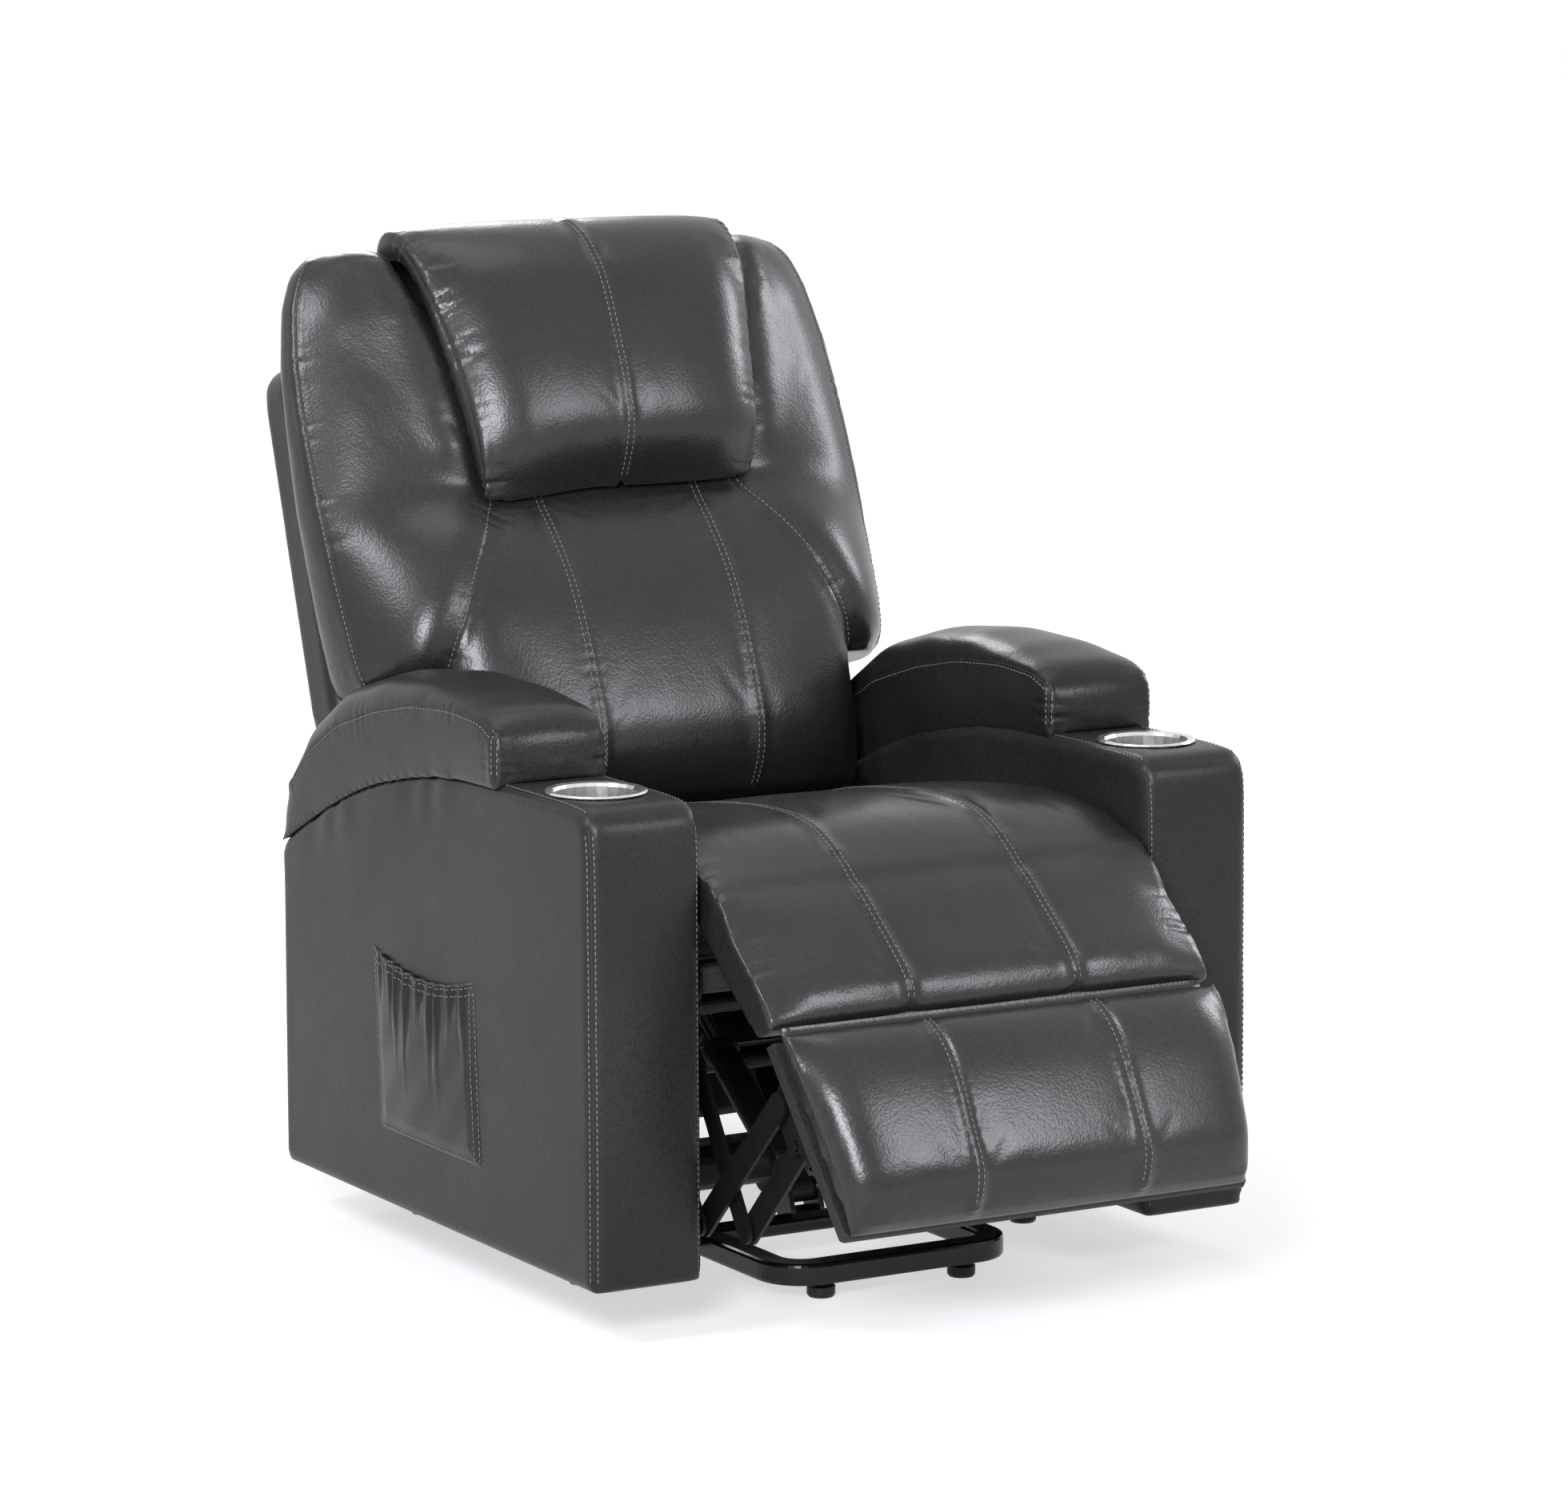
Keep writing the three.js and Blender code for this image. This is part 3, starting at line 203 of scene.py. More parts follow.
class Nodes(Tree):
    """One material's node tree."""

    def __init__(self, name):
        self.material = bpy.data.materials.new(name)
        self.material.use_nodes = True
        super().__init__(self.material.node_tree, keep=True)
        self.shader = self.tree.nodes["Principled BSDF"]
        self.coords = self.add("ShaderNodeTexCoord").outputs["Object"]

    def noise(self, scale, detail=3.0, rough=0.5, stretch=None):
        node = self.add("ShaderNodeTexNoise", Scale=scale, Detail=detail, Roughness=rough)
        source = self.coords
        if stretch:
            shape = self.add("ShaderNodeMapping", Scale=stretch)
            self.link(source, shape, "Vector")
            source = shape.outputs[0]
        self.link(source, node, "Vector")
        return node.outputs["Fac"]

    def ramp(self, fac, stops):
        node = self.add("ShaderNodeValToRGB")
        while len(node.color_ramp.elements) < len(stops):
            node.color_ramp.elements.new(0.5)
        for element, (place, colour) in zip(node.color_ramp.elements, stops):
            element.position = place
            value = colour if isinstance(colour, tuple) else (colour, colour, colour)
            element.color = (*value, 1)
        self.link(fac, node, "Fac")
        return node.outputs["Color"]

    def mix(self, a, b, fac):
        node = self.add("ShaderNodeMix", data_type="RGBA")
        for value, key in ((fac, 0), (a, 6), (b, 7)):
            if hasattr(value, "is_linked"):
                self.link(value, node, key)
            else:
                node.inputs[key].default_value = value if key == 0 else (*value, 1)
        return node.outputs[2]

    def bump(self, height, distance, strength=1.0, onto=None):
        node = self.add("ShaderNodeBump", Distance=distance, Strength=strength)
        self.link(height, node, "Height")
        if onto:
            self.link(onto, node, "Normal")
        return node.outputs[0]

    def set(self, **values):
        for key, value in values.items():
            self.shader.inputs[key.replace("_", " ")].default_value = value


DEEP, LIGHT, VALLEY = 0.013, 0.020, 0.009  # the leather's cloudy colour, and between its pebbles
BROWN, WORN = (0.026, 0.023, 0.021), (0.042, 0.042, 0.043)
PEBBLES_PER_M = 340.0


def leather(name, tint, worn=1.0, gloss=0.40, rough=(0.25, 0.33)):
    """Pebbled semi-gloss leather: clouded, faintly brown in places, paler on its worn edges."""
    n = Nodes(name)
    deep, light, valley = (tuple(value * t for t in tint) for value in (DEEP, LIGHT, VALLEY))
    base = n.ramp(n.noise(5.5, 4, 0.6), [(0.34, deep), (0.68, light)])
    base = n.mix(base, BROWN, n.ramp(n.noise(2.3, 2), [(0.42, 0.0), (0.7, 0.5)]))
    edge = n.add("ShaderNodeNewGeometry").outputs["Pointiness"]
    base = n.mix(base, WORN, n.ramp(edge, [(0.515, 0.0), (0.56, 0.35 * worn)]))
    cells = n.add("ShaderNodeTexVoronoi", Scale=PEBBLES_PER_M, Randomness=1.0)
    cells.feature = "SMOOTH_F1"
    n.link(n.coords, cells, "Vector")
    pebble = n.ramp(cells.outputs["Distance"], [(0.15, 1.0), (0.62, 0.0)])
    base = n.mix(valley, base, n.ramp(pebble, [(0.0, 0.45), (0.5, 1.0)]))
    n.link(base, n.shader, "Base Color")
    n.link(n.ramp(n.noise(9, 5, 0.65), [(0.3, rough[0]), (0.72, rough[1])]), n.shader, "Roughness")
    grain = n.bump(pebble, 0.00013, 0.7)
    grain = n.bump(n.noise(130, 3, 0.6), 0.0004, 0.14, grain)
    soft = n.bump(n.noise(24, 3, 0.55), 0.0028, 0.14, grain)
    n.link(soft, n.shader, "Normal")
    n.set(IOR=1.5, Specular_IOR_Level=gloss)
    return n.material


def plain(name, colour, roughness, metallic=0.0, grain=None, coat=0.0, gloss=0.5):
    """A finish with mottled roughness, slight colour change and a GRAIN of (scale, depth, stretch)."""
    n = Nodes(name)
    dark = tuple(c * 0.82 for c in colour)
    n.link(n.ramp(n.noise(14, 4, 0.6), [(0.3, dark), (0.7, colour)]), n.shader, "Base Color")
    mottled = n.ramp(n.noise(45, 4, 0.6), [(0.3, roughness * 0.85), (0.7, roughness * 1.2)])
    n.link(mottled, n.shader, "Roughness")
    if grain:
        scale, depth, stretch = grain
        n.link(n.bump(n.noise(scale, 3, 0.6, stretch), depth, 0.6), n.shader, "Normal")
    n.set(Metallic=metallic, Coat_Weight=coat, Coat_Roughness=0.12, Specular_IOR_Level=gloss)
    return n.material


LEATHER = leather("leather_charcoal", (1.0, 0.93, 0.89))
# The panels' leather: a duller copy of the cushion leather, partly for the panels' more matte finish and
# partly painted shade, its low gloss standing in for dimmer surroundings at the sides.
LEATHER_SHADED_PANELS = leather("leather_charcoal_shaded_panels", (1.04, 0.96, 0.92), 0.6, 0.21, (0.34, 0.42))
# The pads' and pocket's leather: a darker, duller copy of the cushion leather, painted shade standing in for
# dimmer surroundings on these faces.
LEATHER_SHADED_PADS = leather("leather_charcoal_shaded_pads", (0.93, 0.86, 0.82), 0.8, 0.22, (0.27, 0.35))
THREAD = plain("thread_grey", (0.15, 0.146, 0.142), 0.5, grain=(900, 0.0003, None))
# the seams' dark line: painted shade
SEAM = plain("seam_shadow", (0.008, 0.008, 0.008), 0.6)
BLACK_STEEL = plain("steel_gloss_black", (0.005, 0.005, 0.006), 0.24, 0.0, (120, 0.0002, None), 0.2, 0.25)
LINK_STEEL = plain("steel_dark_grey", (0.005, 0.005, 0.006), 0.48, 0.0, (420, 0.0002, None), 0.05, 0.15)
CUP_STEEL = plain("steel_brushed", (0.76, 0.755, 0.745), 0.26, 1.0, grain=(300, 0.00008, (1, 1, 9)))
ROD_STEEL = plain("steel_drawn", (0.55, 0.56, 0.57), 0.2, 1.0, grain=(260, 0.00006, (9, 1, 1)))
SPRING_STEEL = plain("steel_spring", (0.28, 0.28, 0.29), 0.35, 1.0, grain=(260, 0.00008, None))
MOTOR = plain("plastic_motor", (0.009, 0.009, 0.010), 0.5, grain=(700, 0.0003, None), gloss=0.3)
FOOT = plain("plastic_foot", (0.010, 0.010, 0.010), 0.5, grain=(500, 0.0003, None), gloss=0.3)


def wood(name, dark, pale):
    n = Nodes(name)
    rings = n.noise(9, 5, 0.7, (0.25, 5, 22))
    n.link(n.ramp(rings, [(0.3, dark), (0.62, pale)]), n.shader, "Base Color")
    n.link(n.bump(rings, 0.0006, 0.4), n.shader, "Normal")
    n.set(Roughness=0.7)
    return n.material


WOOD = wood("wood_stained", (0.010, 0.009, 0.008), (0.020, 0.017, 0.015))
BY_SLOT = {
    "base_steel": BLACK_STEEL, "linkage_steel": LINK_STEEL, "cup_steel": CUP_STEEL, "rod_steel": ROD_STEEL,
    "spring_steel": SPRING_STEEL, "motor_plastic": MOTOR, "foot_plastic": FOOT, "wood": WOOD,
    "leather": LEATHER,
}
SLOT_OF = {p["node"]: p["material_slot"] for p in frame["record"]["subparts"]}
for node_name, node in NODES.items():
    node.data.materials.clear()
    node.data.materials.append(BY_SLOT[SLOT_OF[node_name]])


# ---- soft pieces from the frame's solids

BACK_PIVOT = Vector((0, 0.170 + SHIFT, 0.440))
BACK_TURN = Matrix.Rotation(math.radians(-18), 3, "X")


def from_back(p):
    """A point of the backrest's own upright frame, whose origin is its hinge, in the row frame."""
    return BACK_TURN @ Vector(p) + BACK_PIVOT


BACK_UP = np.array(BACK_TURN @ Vector((0, 0, 1)))
BACK_IN = np.array(BACK_TURN @ Vector((0, 1, 0)))


def coords(mesh):
    co = np.empty(len(mesh.vertices) * 3, np.float64)
    mesh.vertices.foreach_get("co", co)
    return co.reshape(-1, 3)


def set_coords(mesh, co):
    mesh.vertices.foreach_set("co", np.ascontiguousarray(co, np.float32).ravel())
    mesh.update()


def normals(mesh):
    no = np.empty(len(mesh.vertices) * 3, np.float32)
    mesh.vertices.foreach_get("normal", no)
    return no.reshape(-1, 3).astype(np.float64)


def evaluated(obj):
    """obj's mesh with its modifiers applied, as its new mesh."""
    graph = bpy.context.evaluated_depsgraph_get()
    made = bpy.data.meshes.new_from_object(obj.evaluated_get(graph))
    old = obj.data
    obj.modifiers.clear()
    obj.data = made
    bpy.data.meshes.remove(old)
    return obj


def joined(name, *sources):
    """The CAD nodes SOURCES as one new object."""
    build = bmesh.new()
    for source in sources:
        build.from_mesh(NODES[source].data)
    mesh = bpy.data.meshes.new(name)
    build.to_mesh(mesh)
    build.free()
    obj = bpy.data.objects.new(name, mesh)
    bpy.context.scene.collection.objects.link(obj)
    return obj


def spread(mesh, values, rounds, free=None):
    """VALUES at the mesh's points, evened out over ROUNDS steps; FREE is each point's share of the change."""
    edges = np.empty(len(mesh.edges) * 2, np.int32)
    mesh.edges.foreach_get("vertices", edges)
    a, b = edges.reshape(-1, 2).T
    size = len(values)
    count = np.maximum(np.bincount(a, minlength=size) + np.bincount(b, minlength=size), 1)[:, None]
    share = 0.5 if free is None else 0.5 * free[:, None]
    for _ in range(rounds):
        total = [np.bincount(a, values[b, k], size) + np.bincount(b, values[a, k], size) for k in range(3)]
        values = values + share * (np.stack(total, axis=1) / count - values)
    return values


HELD_SHARE = 0.93  # how much of the smoothing a held place is spared


def remeshed(name, sources, voxel, rounds=8, hold=None):
    """The frame's solids as one even mesh, their facets smoothed away but for the places that HOLD keeps."""
    obj = joined(name, *sources)
    remesh = obj.modifiers.new("remesh", "REMESH")
    remesh.mode = "VOXEL"
    remesh.voxel_size = voxel
    evaluated(obj)
    co = coords(obj.data)
    free = np.ones(len(co)) if hold is None else 1 - HELD_SHARE * np.clip(hold(co), 0, 1)
    once = spread(obj.data, co, rounds, free)
    set_coords(obj.data, once + spread(obj.data, co - once, rounds, free))
    return obj


def shaded(obj, material):
    obj.data.materials.clear()
    obj.data.materials.append(material)
    obj.data.polygons.foreach_set("use_smooth", [True] * len(obj.data.polygons))
    return obj


class Puff:
    """One cushion in the cloth simulation, which blows it up between the places that HOLD keeps."""

    STEPS = 20
    PRESSURE = 4.0
    LEVELS = 10  # of the pin weights
    BULK_ROUNDS = 50
    waiting = []

    def __init__(self, obj, hold, shrink, cap):
        self.obj, self.cap = obj, cap
        self.weight = np.clip(hold(coords(obj.data)), 0, 1)
        self.before = coords(obj.data)
        start = self.before - normals(obj.data) * (shrink * (1 - self.weight))[:, None]
        set_coords(obj.data, start)
        self.start = start
        group = obj.vertex_groups.new(name="pin")
        for level in range(1, self.LEVELS + 1):
            at = np.nonzero(np.round(self.weight * self.LEVELS) == level)[0]
            group.add([int(i) for i in at], level / self.LEVELS, "REPLACE")
        cloth = obj.modifiers.new("cloth", "CLOTH")
        settings = cloth.settings
        settings.quality = 4
        settings.mass = 0.35
        settings.tension_stiffness = settings.compression_stiffness = 14
        settings.shear_stiffness = 6
        settings.bending_stiffness = 0.6
        settings.use_pressure = True
        settings.uniform_pressure_force = self.PRESSURE
        settings.vertex_group_mass = "pin"
        settings.pin_stiffness = 1.0
        settings.effector_weights.gravity = 0
        cloth.collision_settings.use_collision = False
        cloth.point_cache.frame_start, cloth.point_cache.frame_end = 1, self.STEPS
        Puff.waiting.append(self)

    @classmethod
    def run(cls):
        """Simulates all waiting cushions at once, then takes back the broad part of their change."""
        scene = bpy.context.scene
        for step in range(1, cls.STEPS + 1 if cls.waiting else 1):
            scene.frame_set(step)
        graph = bpy.context.evaluated_depsgraph_get()
        for puff in cls.waiting:
            blown = coords(puff.obj.evaluated_get(graph).to_mesh())
            puff.obj.evaluated_get(graph).to_mesh_clear()
            move = blown - puff.start
            length = np.linalg.norm(move, axis=1)
            limit = puff.cap * np.tanh(length / puff.cap)
            puff.after = puff.start + move * (limit / np.maximum(length, 1e-9))[:, None]
        for puff in cls.waiting:
            puff.obj.modifiers.clear()
            puff.obj.vertex_groups.clear()
            bulk = spread(puff.obj.data, puff.before - puff.after, cls.BULK_ROUNDS)
            set_coords(puff.obj.data, puff.after + bulk)
        scene.frame_set(1)
        cls.waiting.clear()


def relaxed(obj, rounds, where=None):
    """Smooths the surface, or only the part of it that WHERE gives a weight."""
    smooth = obj.modifiers.new("relax", "SMOOTH")
    smooth.factor, smooth.iterations = 0.5, rounds
    if where:
        group = obj.vertex_groups.new(name="relax")
        weight = np.clip(where(coords(obj.data)), 0, 1)
        for i in np.nonzero(weight > 0.02)[0]:
            group.add([int(i)], float(weight[i]), "REPLACE")
        smooth.vertex_group = "relax"
    evaluated(obj)
    obj.vertex_groups.clear()
    return obj


def refined(obj):
    sub = obj.modifiers.new("refine", "SUBSURF")
    sub.levels = sub.render_levels = 1
    return evaluated(obj)


# ---- seams and stitches

RAY_LENGTH = 0.5


class Surface:
    """A piece's surface, for laying seams on it."""

    def __init__(self, obj):
        self.obj = obj
        self.refresh()

    def refresh(self):
        graph = bpy.context.evaluated_depsgraph_get()
        self.tree = BVHTree.FromObject(self.obj, graph)

    def trace(self, points, direction):
        """Where rays from POINTS along DIRECTION first meet the surface."""
        found = []
        for p in points:
            spot = self.tree.ray_cast(Vector(p), Vector(direction).normalized(), RAY_LENGTH)[0]
            if spot is not None:
                found.append(spot)
        return found

    def line(self, points, direction, step, rounds):
        return softened(evenly(self.trace(points, direction), step), rounds)

    def nearest(self, p):
        spot, normal, _, _ = self.tree.find_nearest(Vector(p))
        return spot, normal

    def snapped(self, points):
        return [self.nearest(p)[0] for p in points]


def evenly(points, step):
    """POINTS resampled along their line at about STEP."""
    co = np.array([list(p) for p in points], float)
    length = np.concatenate([[0], np.cumsum(np.linalg.norm(np.diff(co, axis=0), axis=1))])
    count = max(2, int(round(length[-1] / step)) + 1)
    at = np.linspace(0, length[-1], count)
    return np.stack([np.interp(at, length, co[:, k]) for k in range(3)], axis=1)


def softened(line, rounds=3):
    for _ in range(rounds):
        line[1:-1] = 0.5 * line[1:-1] + 0.25 * (line[:-2] + line[2:])
    return line


LINE_STEP = 0.003  # the spacing at which seam lines are followed
SEAM_REACH = 0.03  # how far from its line a seam may change the surface
CHUNK = 4000  # points measured at a time


def groove(obj, lines, depth, width, pucker=0.0, reach=0.016, wave=0.011):
    """Draws the surface in along seam LINES, and gathers it into small puckers that fade out within REACH."""
    mesh = obj.data
    co, no = coords(mesh), normals(mesh)
    nearest = np.full(len(co), 9.0)
    phase = np.zeros(len(co))
    lot = 0.0
    for line in lines:
        line = evenly(line, LINE_STEP)
        low, high = line.min(0) - SEAM_REACH, line.max(0) + SEAM_REACH
        close = np.nonzero(((co > low) & (co < high)).all(1))[0]
        for chunk in np.array_split(close, max(1, len(close) // CHUNK)):
            if not len(chunk):
                continue
            gap = np.linalg.norm(co[chunk][:, None] - line[None], axis=2)
            best = gap.argmin(1)
            distance = gap[np.arange(len(chunk)), best]
            closer = distance < nearest[chunk]
            nearest[chunk[closer]] = distance[closer]
            phase[chunk[closer]] = lot + best[closer] * LINE_STEP
        lot += 3.7  # each line's puckers differ
    sink = depth * np.exp(-((nearest / width) ** 2))
    if pucker:
        turn = phase / wave + 0.4 * np.sin(phase * 61) + 0.3 * np.sin(phase * 23 + 2)
        crease = abs(np.cos(math.pi * turn)) ** 5 * (0.55 + 0.45 * np.sin(phase * 83 + 1))
        crease *= 0.65 + 0.35 * np.sin(phase * 31 + 2)
        fade = np.exp(-((nearest / (reach * (0.65 + 0.55 * abs(np.sin(phase * 47))))) ** 2))
        sink += pucker * (crease - 0.25) * fade
    set_coords(mesh, co - no * sink[:, None])


STITCH_PITCH, STITCH_LENGTH = 0.0068, 0.0046
STITCH_HALF_WIDTH, STITCH_HALF_HEIGHT, STITCH_BOW = 0.00075, 0.0005, 0.00022
# place along the stitch, and its share of the full width there
STITCH_PROFILE = [(-0.5, 0.35), (-0.36, 0.9), (0.0, 1.0), (0.36, 0.9), (0.5, 0.35)]
THREAD_SIDES = 5
SEAM_SINK = 0.0002
BEND = ("chair", "calf_rest")  # the pair of bodies that the seat's cover crosses
STITCHES = {}  # body: [centre, along, normal]
# the seams' dark lines, thin tubes of painted shade
SEAM_SHADE_LINES = {}  # body: [points, radius]


def stitch_row(surface, line, body, offset=0.0, lift=0.0003, toward=None):
    """A row of stitches along LINE, OFFSET to one side of it on the surface."""
    line = evenly(line, LINE_STEP)
    aim = np.gradient(line, axis=0)
    row = []
    for p, d in zip(line, aim):
        d = Vector(d).normalized()
        spot, normal = surface.nearest(p)
        if spot is None:
            continue
        side = normal.cross(d).normalized()
        if toward is not None and side.dot(Vector(toward)) < 0:
            side = -side
        spot, normal = surface.nearest(Vector(p) + side * offset)
        row.append((*spot, *normal))
    row = np.array(row)
    if len(row) < 4:
        return
    row[:, :3] = softened(row[:, :3].copy(), 2)
    gaps = np.concatenate([[0], np.cumsum(np.linalg.norm(np.diff(row[:, :3], axis=0), axis=1))])
    at = np.arange(STITCH_PITCH / 2, gaps[-1] - STITCH_PITCH / 2, STITCH_PITCH)
    made = np.stack([np.interp(at, gaps, row[:, k]) for k in range(6)], axis=1)
    ahead = np.stack([np.interp(at + 0.001, gaps, row[:, k]) for k in range(3)], axis=1)
    for spot, further in zip(made, ahead):
        normal = Vector(spot[3:]).normalized()
        along = (Vector(further) - Vector(spot[:3])).normalized()
        STITCHES.setdefault(body, []).append((Vector(spot[:3]) + normal * lift, along, normal))


def seam_shade_line(surface, line, body, radius=0.0006):
    """The dark line where two panels meet: a thin tube of painted shade sunk just under the surface."""
    points = []
    for p in softened(evenly(line, 0.005)):
        spot, normal = surface.nearest(p)
        points.append(spot - normal * SEAM_SINK)
    SEAM_SHADE_LINES.setdefault(body, []).append((points, radius))


def mesh_object(name, verts, faces):
    mesh = bpy.data.meshes.new(name)
    mesh.from_pydata([tuple(v) for v in verts], [], faces)
    obj = bpy.data.objects.new(name, mesh)
    bpy.context.scene.collection.objects.link(obj)
    return obj


def tube_faces(start, rings, sides):
    """The faces of a closed tube whose rings of points begin at vertex START."""
    faces = []
    for ring in range(rings - 1):
        for k in range(sides):
            a = start + ring * sides + k
            b = start + ring * sides + (k + 1) % sides
            faces.append((a, b, b + sides, a + sides))
    faces.append(tuple(start + k for k in reversed(range(sides))))
    faces.append(tuple(start + (rings - 1) * sides + k for k in range(sides)))
    return faces


def tube(verts, faces, points, radius, sides):
    points = [Vector(p) for p in points]
    start = len(verts)
    side = None
    for i, p in enumerate(points):
        along = (points[min(i + 1, len(points) - 1)] - points[max(i - 1, 0)]).normalized()
        side = (side - along * side.dot(along)).normalized() if side else along.orthogonal().normalized()
        up = along.cross(side)
        for k in range(sides):
            angle = 2 * math.pi * k / sides
            verts.append(p + (side * math.cos(angle) + up * math.sin(angle)) * radius)
    faces.extend(tube_faces(start, len(points), sides))


def one_stitch(verts, faces, centre, along, normal):
    """A short bowed thread, thin at its ends."""
    across = normal.cross(along).normalized()
    start = len(verts)
    for place, share in STITCH_PROFILE:
        bow = STITCH_BOW * (1 - (2 * place) ** 2)
        for k in range(THREAD_SIDES):
            angle = 2 * math.pi * k / THREAD_SIDES
            out = across * math.cos(angle) * STITCH_HALF_WIDTH
            out += normal * (math.sin(angle) * STITCH_HALF_HEIGHT)
            verts.append(centre + along * (place * STITCH_LENGTH) + normal * bow + out * share)
    faces.extend(tube_faces(start, len(STITCH_PROFILE), THREAD_SIDES))


def thread_or_shade_object(kind, body, verts, faces, material):
    """Stitch thread and the seams' painted shade ride on one body, or are baked in place where BODY is a pair.
    """
    one = isinstance(body, str)
    obj = mesh_object(kind + "_" + (body if one else "_".join(body)), verts, faces)
    dress(obj, body if one else (*body, BEND_FROM, BEND_TO), material)


def make_threads_and_seam_shades():
    for body, stitches in STITCHES.items():
        verts, faces = [], []
        for stitch in stitches:
            one_stitch(verts, faces, *stitch)
        thread_or_shade_object("stitches", body, verts, faces, THREAD)
    # the seams' dark lines are painted shade
    for body, seams in SEAM_SHADE_LINES.items():
        verts, faces = [], []
        for points, radius in seams:
            tube(verts, faces, points, radius, THREAD_SIDES)
        thread_or_shade_object("seams", body, verts, faces, SEAM)


# ---- the covers

def mm(x, y, z):
    return Vector((x / 1000, y / 1000 + SHIFT, z / 1000))


def back_mm(x, y, z):
    return from_back((x / 1000, y / 1000, z / 1000))


def to_back(co):
    """An array of row-frame points in the backrest's frame, in millimetres."""
    turn = np.array(BACK_TURN)
    return (co - np.array(BACK_PIVOT)) @ turn * 1000


def to_mm(co):
    return (co - np.array([0, SHIFT, 0])) * 1000


CALF_PIVOT, CALF_SLOPE = (-372, 446), math.atan2(106, 134)
BOARD_PIVOT, BOARD_SLOPE = (-506, 340), math.radians(61.2)
BEND_FROM, BEND_TO = mm(0, -340, 446), mm(0, -412, 446)
SEAM_X = 105  # of the sewn channels in seat, calf pad, footrest and back
SEAT_EDGE_X = 273


def slope_point(pivot, slope, x, d, n):
    """The point D down the slope and N out of it, at x X."""
    y = pivot[0] - d * math.cos(slope) - n * math.sin(slope)
    z = pivot[1] - d * math.sin(slope) + n * math.cos(slope)
    return mm(x, y, z)


def slope_out(slope):
    return Vector((0, -math.sin(slope), math.cos(slope)))


def to_slope(co, pivot, slope):
    """Row-frame points as x, distance down the slope and height out of it, in millimetres."""
    p = to_mm(co)
    y, z = p[:, 1] - pivot[0], p[:, 2] - pivot[1]
    down = -y * math.cos(slope) - z * math.sin(slope)
    out = -y * math.sin(slope) + z * math.cos(slope)
    return np.stack([p[:, 0], down, out], axis=1)


def near(values, place, width):
    """1 at PLACE, falling to nothing about two WIDTHs away."""
    return np.exp(-(((values - place) / width) ** 2))


def past(values, edge, width):
    """0 before EDGE less WIDTH, 1 from EDGE on."""
    return np.clip((values - edge + width) / width, 0, 1)


def smoothstep(v, low, high):
    t = np.clip((v - low) / (high - low), 0, 1)
    return t * t * (3 - 2 * t)


def raise_channels(obj, places, amount, where):
    """Brings sewn channels at |x| = PLACES up by AMOUNT, so that they lie nearly flush."""
    co, no = coords(obj.data), normals(obj.data)
    no[:, 0] = 0
    no /= np.maximum(np.linalg.norm(no, axis=1), 1e-6)[:, None]
    lift = np.max([np.exp(-1.2 * ((abs(co[:, 0]) * 1000 - x) / 8) ** 2) for x in places], axis=0)
    set_coords(obj.data, co + no * (amount * lift * where(co))[:, None])


# Each hold_ function gives 1 where its cover stays put in the simulation and 0 where it is free to swell.


def hold_seat(co):
    p = to_mm(co)
    calf = to_slope(co, CALF_PIVOT, CALF_SLOPE)
    low = np.where(p[:, 1] > -345, 1 - past(p[:, 2], 428, 18), 1 - past(calf[:, 2], 6, 14))
    seam = near(abs(p[:, 0]), SEAM_X, 7) * 0.7
    rear = past(p[:, 1], 165, 12)
    lip = near(p[:, 1], -375, 22) * near(p[:, 2], 484, 20) * 0.5
    end = past(calf[:, 1], 158, 10)
    return np.maximum.reduce([low, seam, rear, lip, end, past(abs(p[:, 0]), 276, 10) * 0.85])


def seat_front(co):
    p, calf = to_mm(co), to_slope(co, CALF_PIVOT, CALF_SLOPE)
    return ((p[:, 2] > 470) & (p[:, 1] > -350)) | ((p[:, 1] < -392) & (calf[:, 2] > 18))


def make_seat():
    """Seat and calf pad, one cover that bends at the seat's front edge."""
    obj = remeshed("seat_cover", ["seat_cushion", "calf_pad"], 0.006, 36, hold_seat)
    raise_channels(obj, [SEAM_X], 0.0045, seat_front)
    co = coords(obj.data)
    x, down, out = to_slope(co, CALF_PIVOT, CALF_SLOPE).T
    roll = smoothstep(abs(x), 218, 280) * smoothstep(down, 5, 60) * smoothstep(out, 20, 40)
    set_coords(obj.data, co - (roll * 0.007)[:, None] * np.array(slope_out(CALF_SLOPE)))
    Puff(obj, hold_seat, shrink=0.003, cap=0.007)
    return obj


def hold_rest(co):
    p = to_slope(co, BOARD_PIVOT, BOARD_SLOPE)
    return np.maximum.reduce([1 - past(p[:, 2], 22, 10), near(abs(p[:, 0]), SEAM_X, 7) * 0.7,
                              past(abs(p[:, 0]), 272, 10) * 0.7])


def make_rest():
    obj = remeshed("footrest_cover", ["footrest_pad"], 0.0055, 36, hold_rest)
    raise_channels(obj, [SEAM_X], 0.0050, lambda co: to_slope(co, BOARD_PIVOT, BOARD_SLOPE)[:, 2] > 34)
    co = coords(obj.data)
    x, down, out = to_slope(co, BOARD_PIVOT, BOARD_SLOPE).T
    roll = smoothstep(abs(x), 216, 282) + smoothstep(down, 160, 226)
    roll = roll * 0.008 * smoothstep(out, 24, 44)
    set_coords(obj.data, co - roll[:, None] * np.array(slope_out(BOARD_SLOPE)))
    Puff(obj, hold_rest, shrink=0.003, cap=0.007)
    return obj


def back_half(height):
    """Half width of the lumbar cushion, which is where the curved seams run."""
    waist = 0.0314 * np.clip(height - 185, 0, 232) ** 1.5
    return np.minimum(267, 270 - waist + 66 * smoothstep(height, 600, 665))


def pillow_half(height):
    """Half width of the head pillow."""
    return 179 + 45 * np.clip((height - 420) / 320, 0, 1)


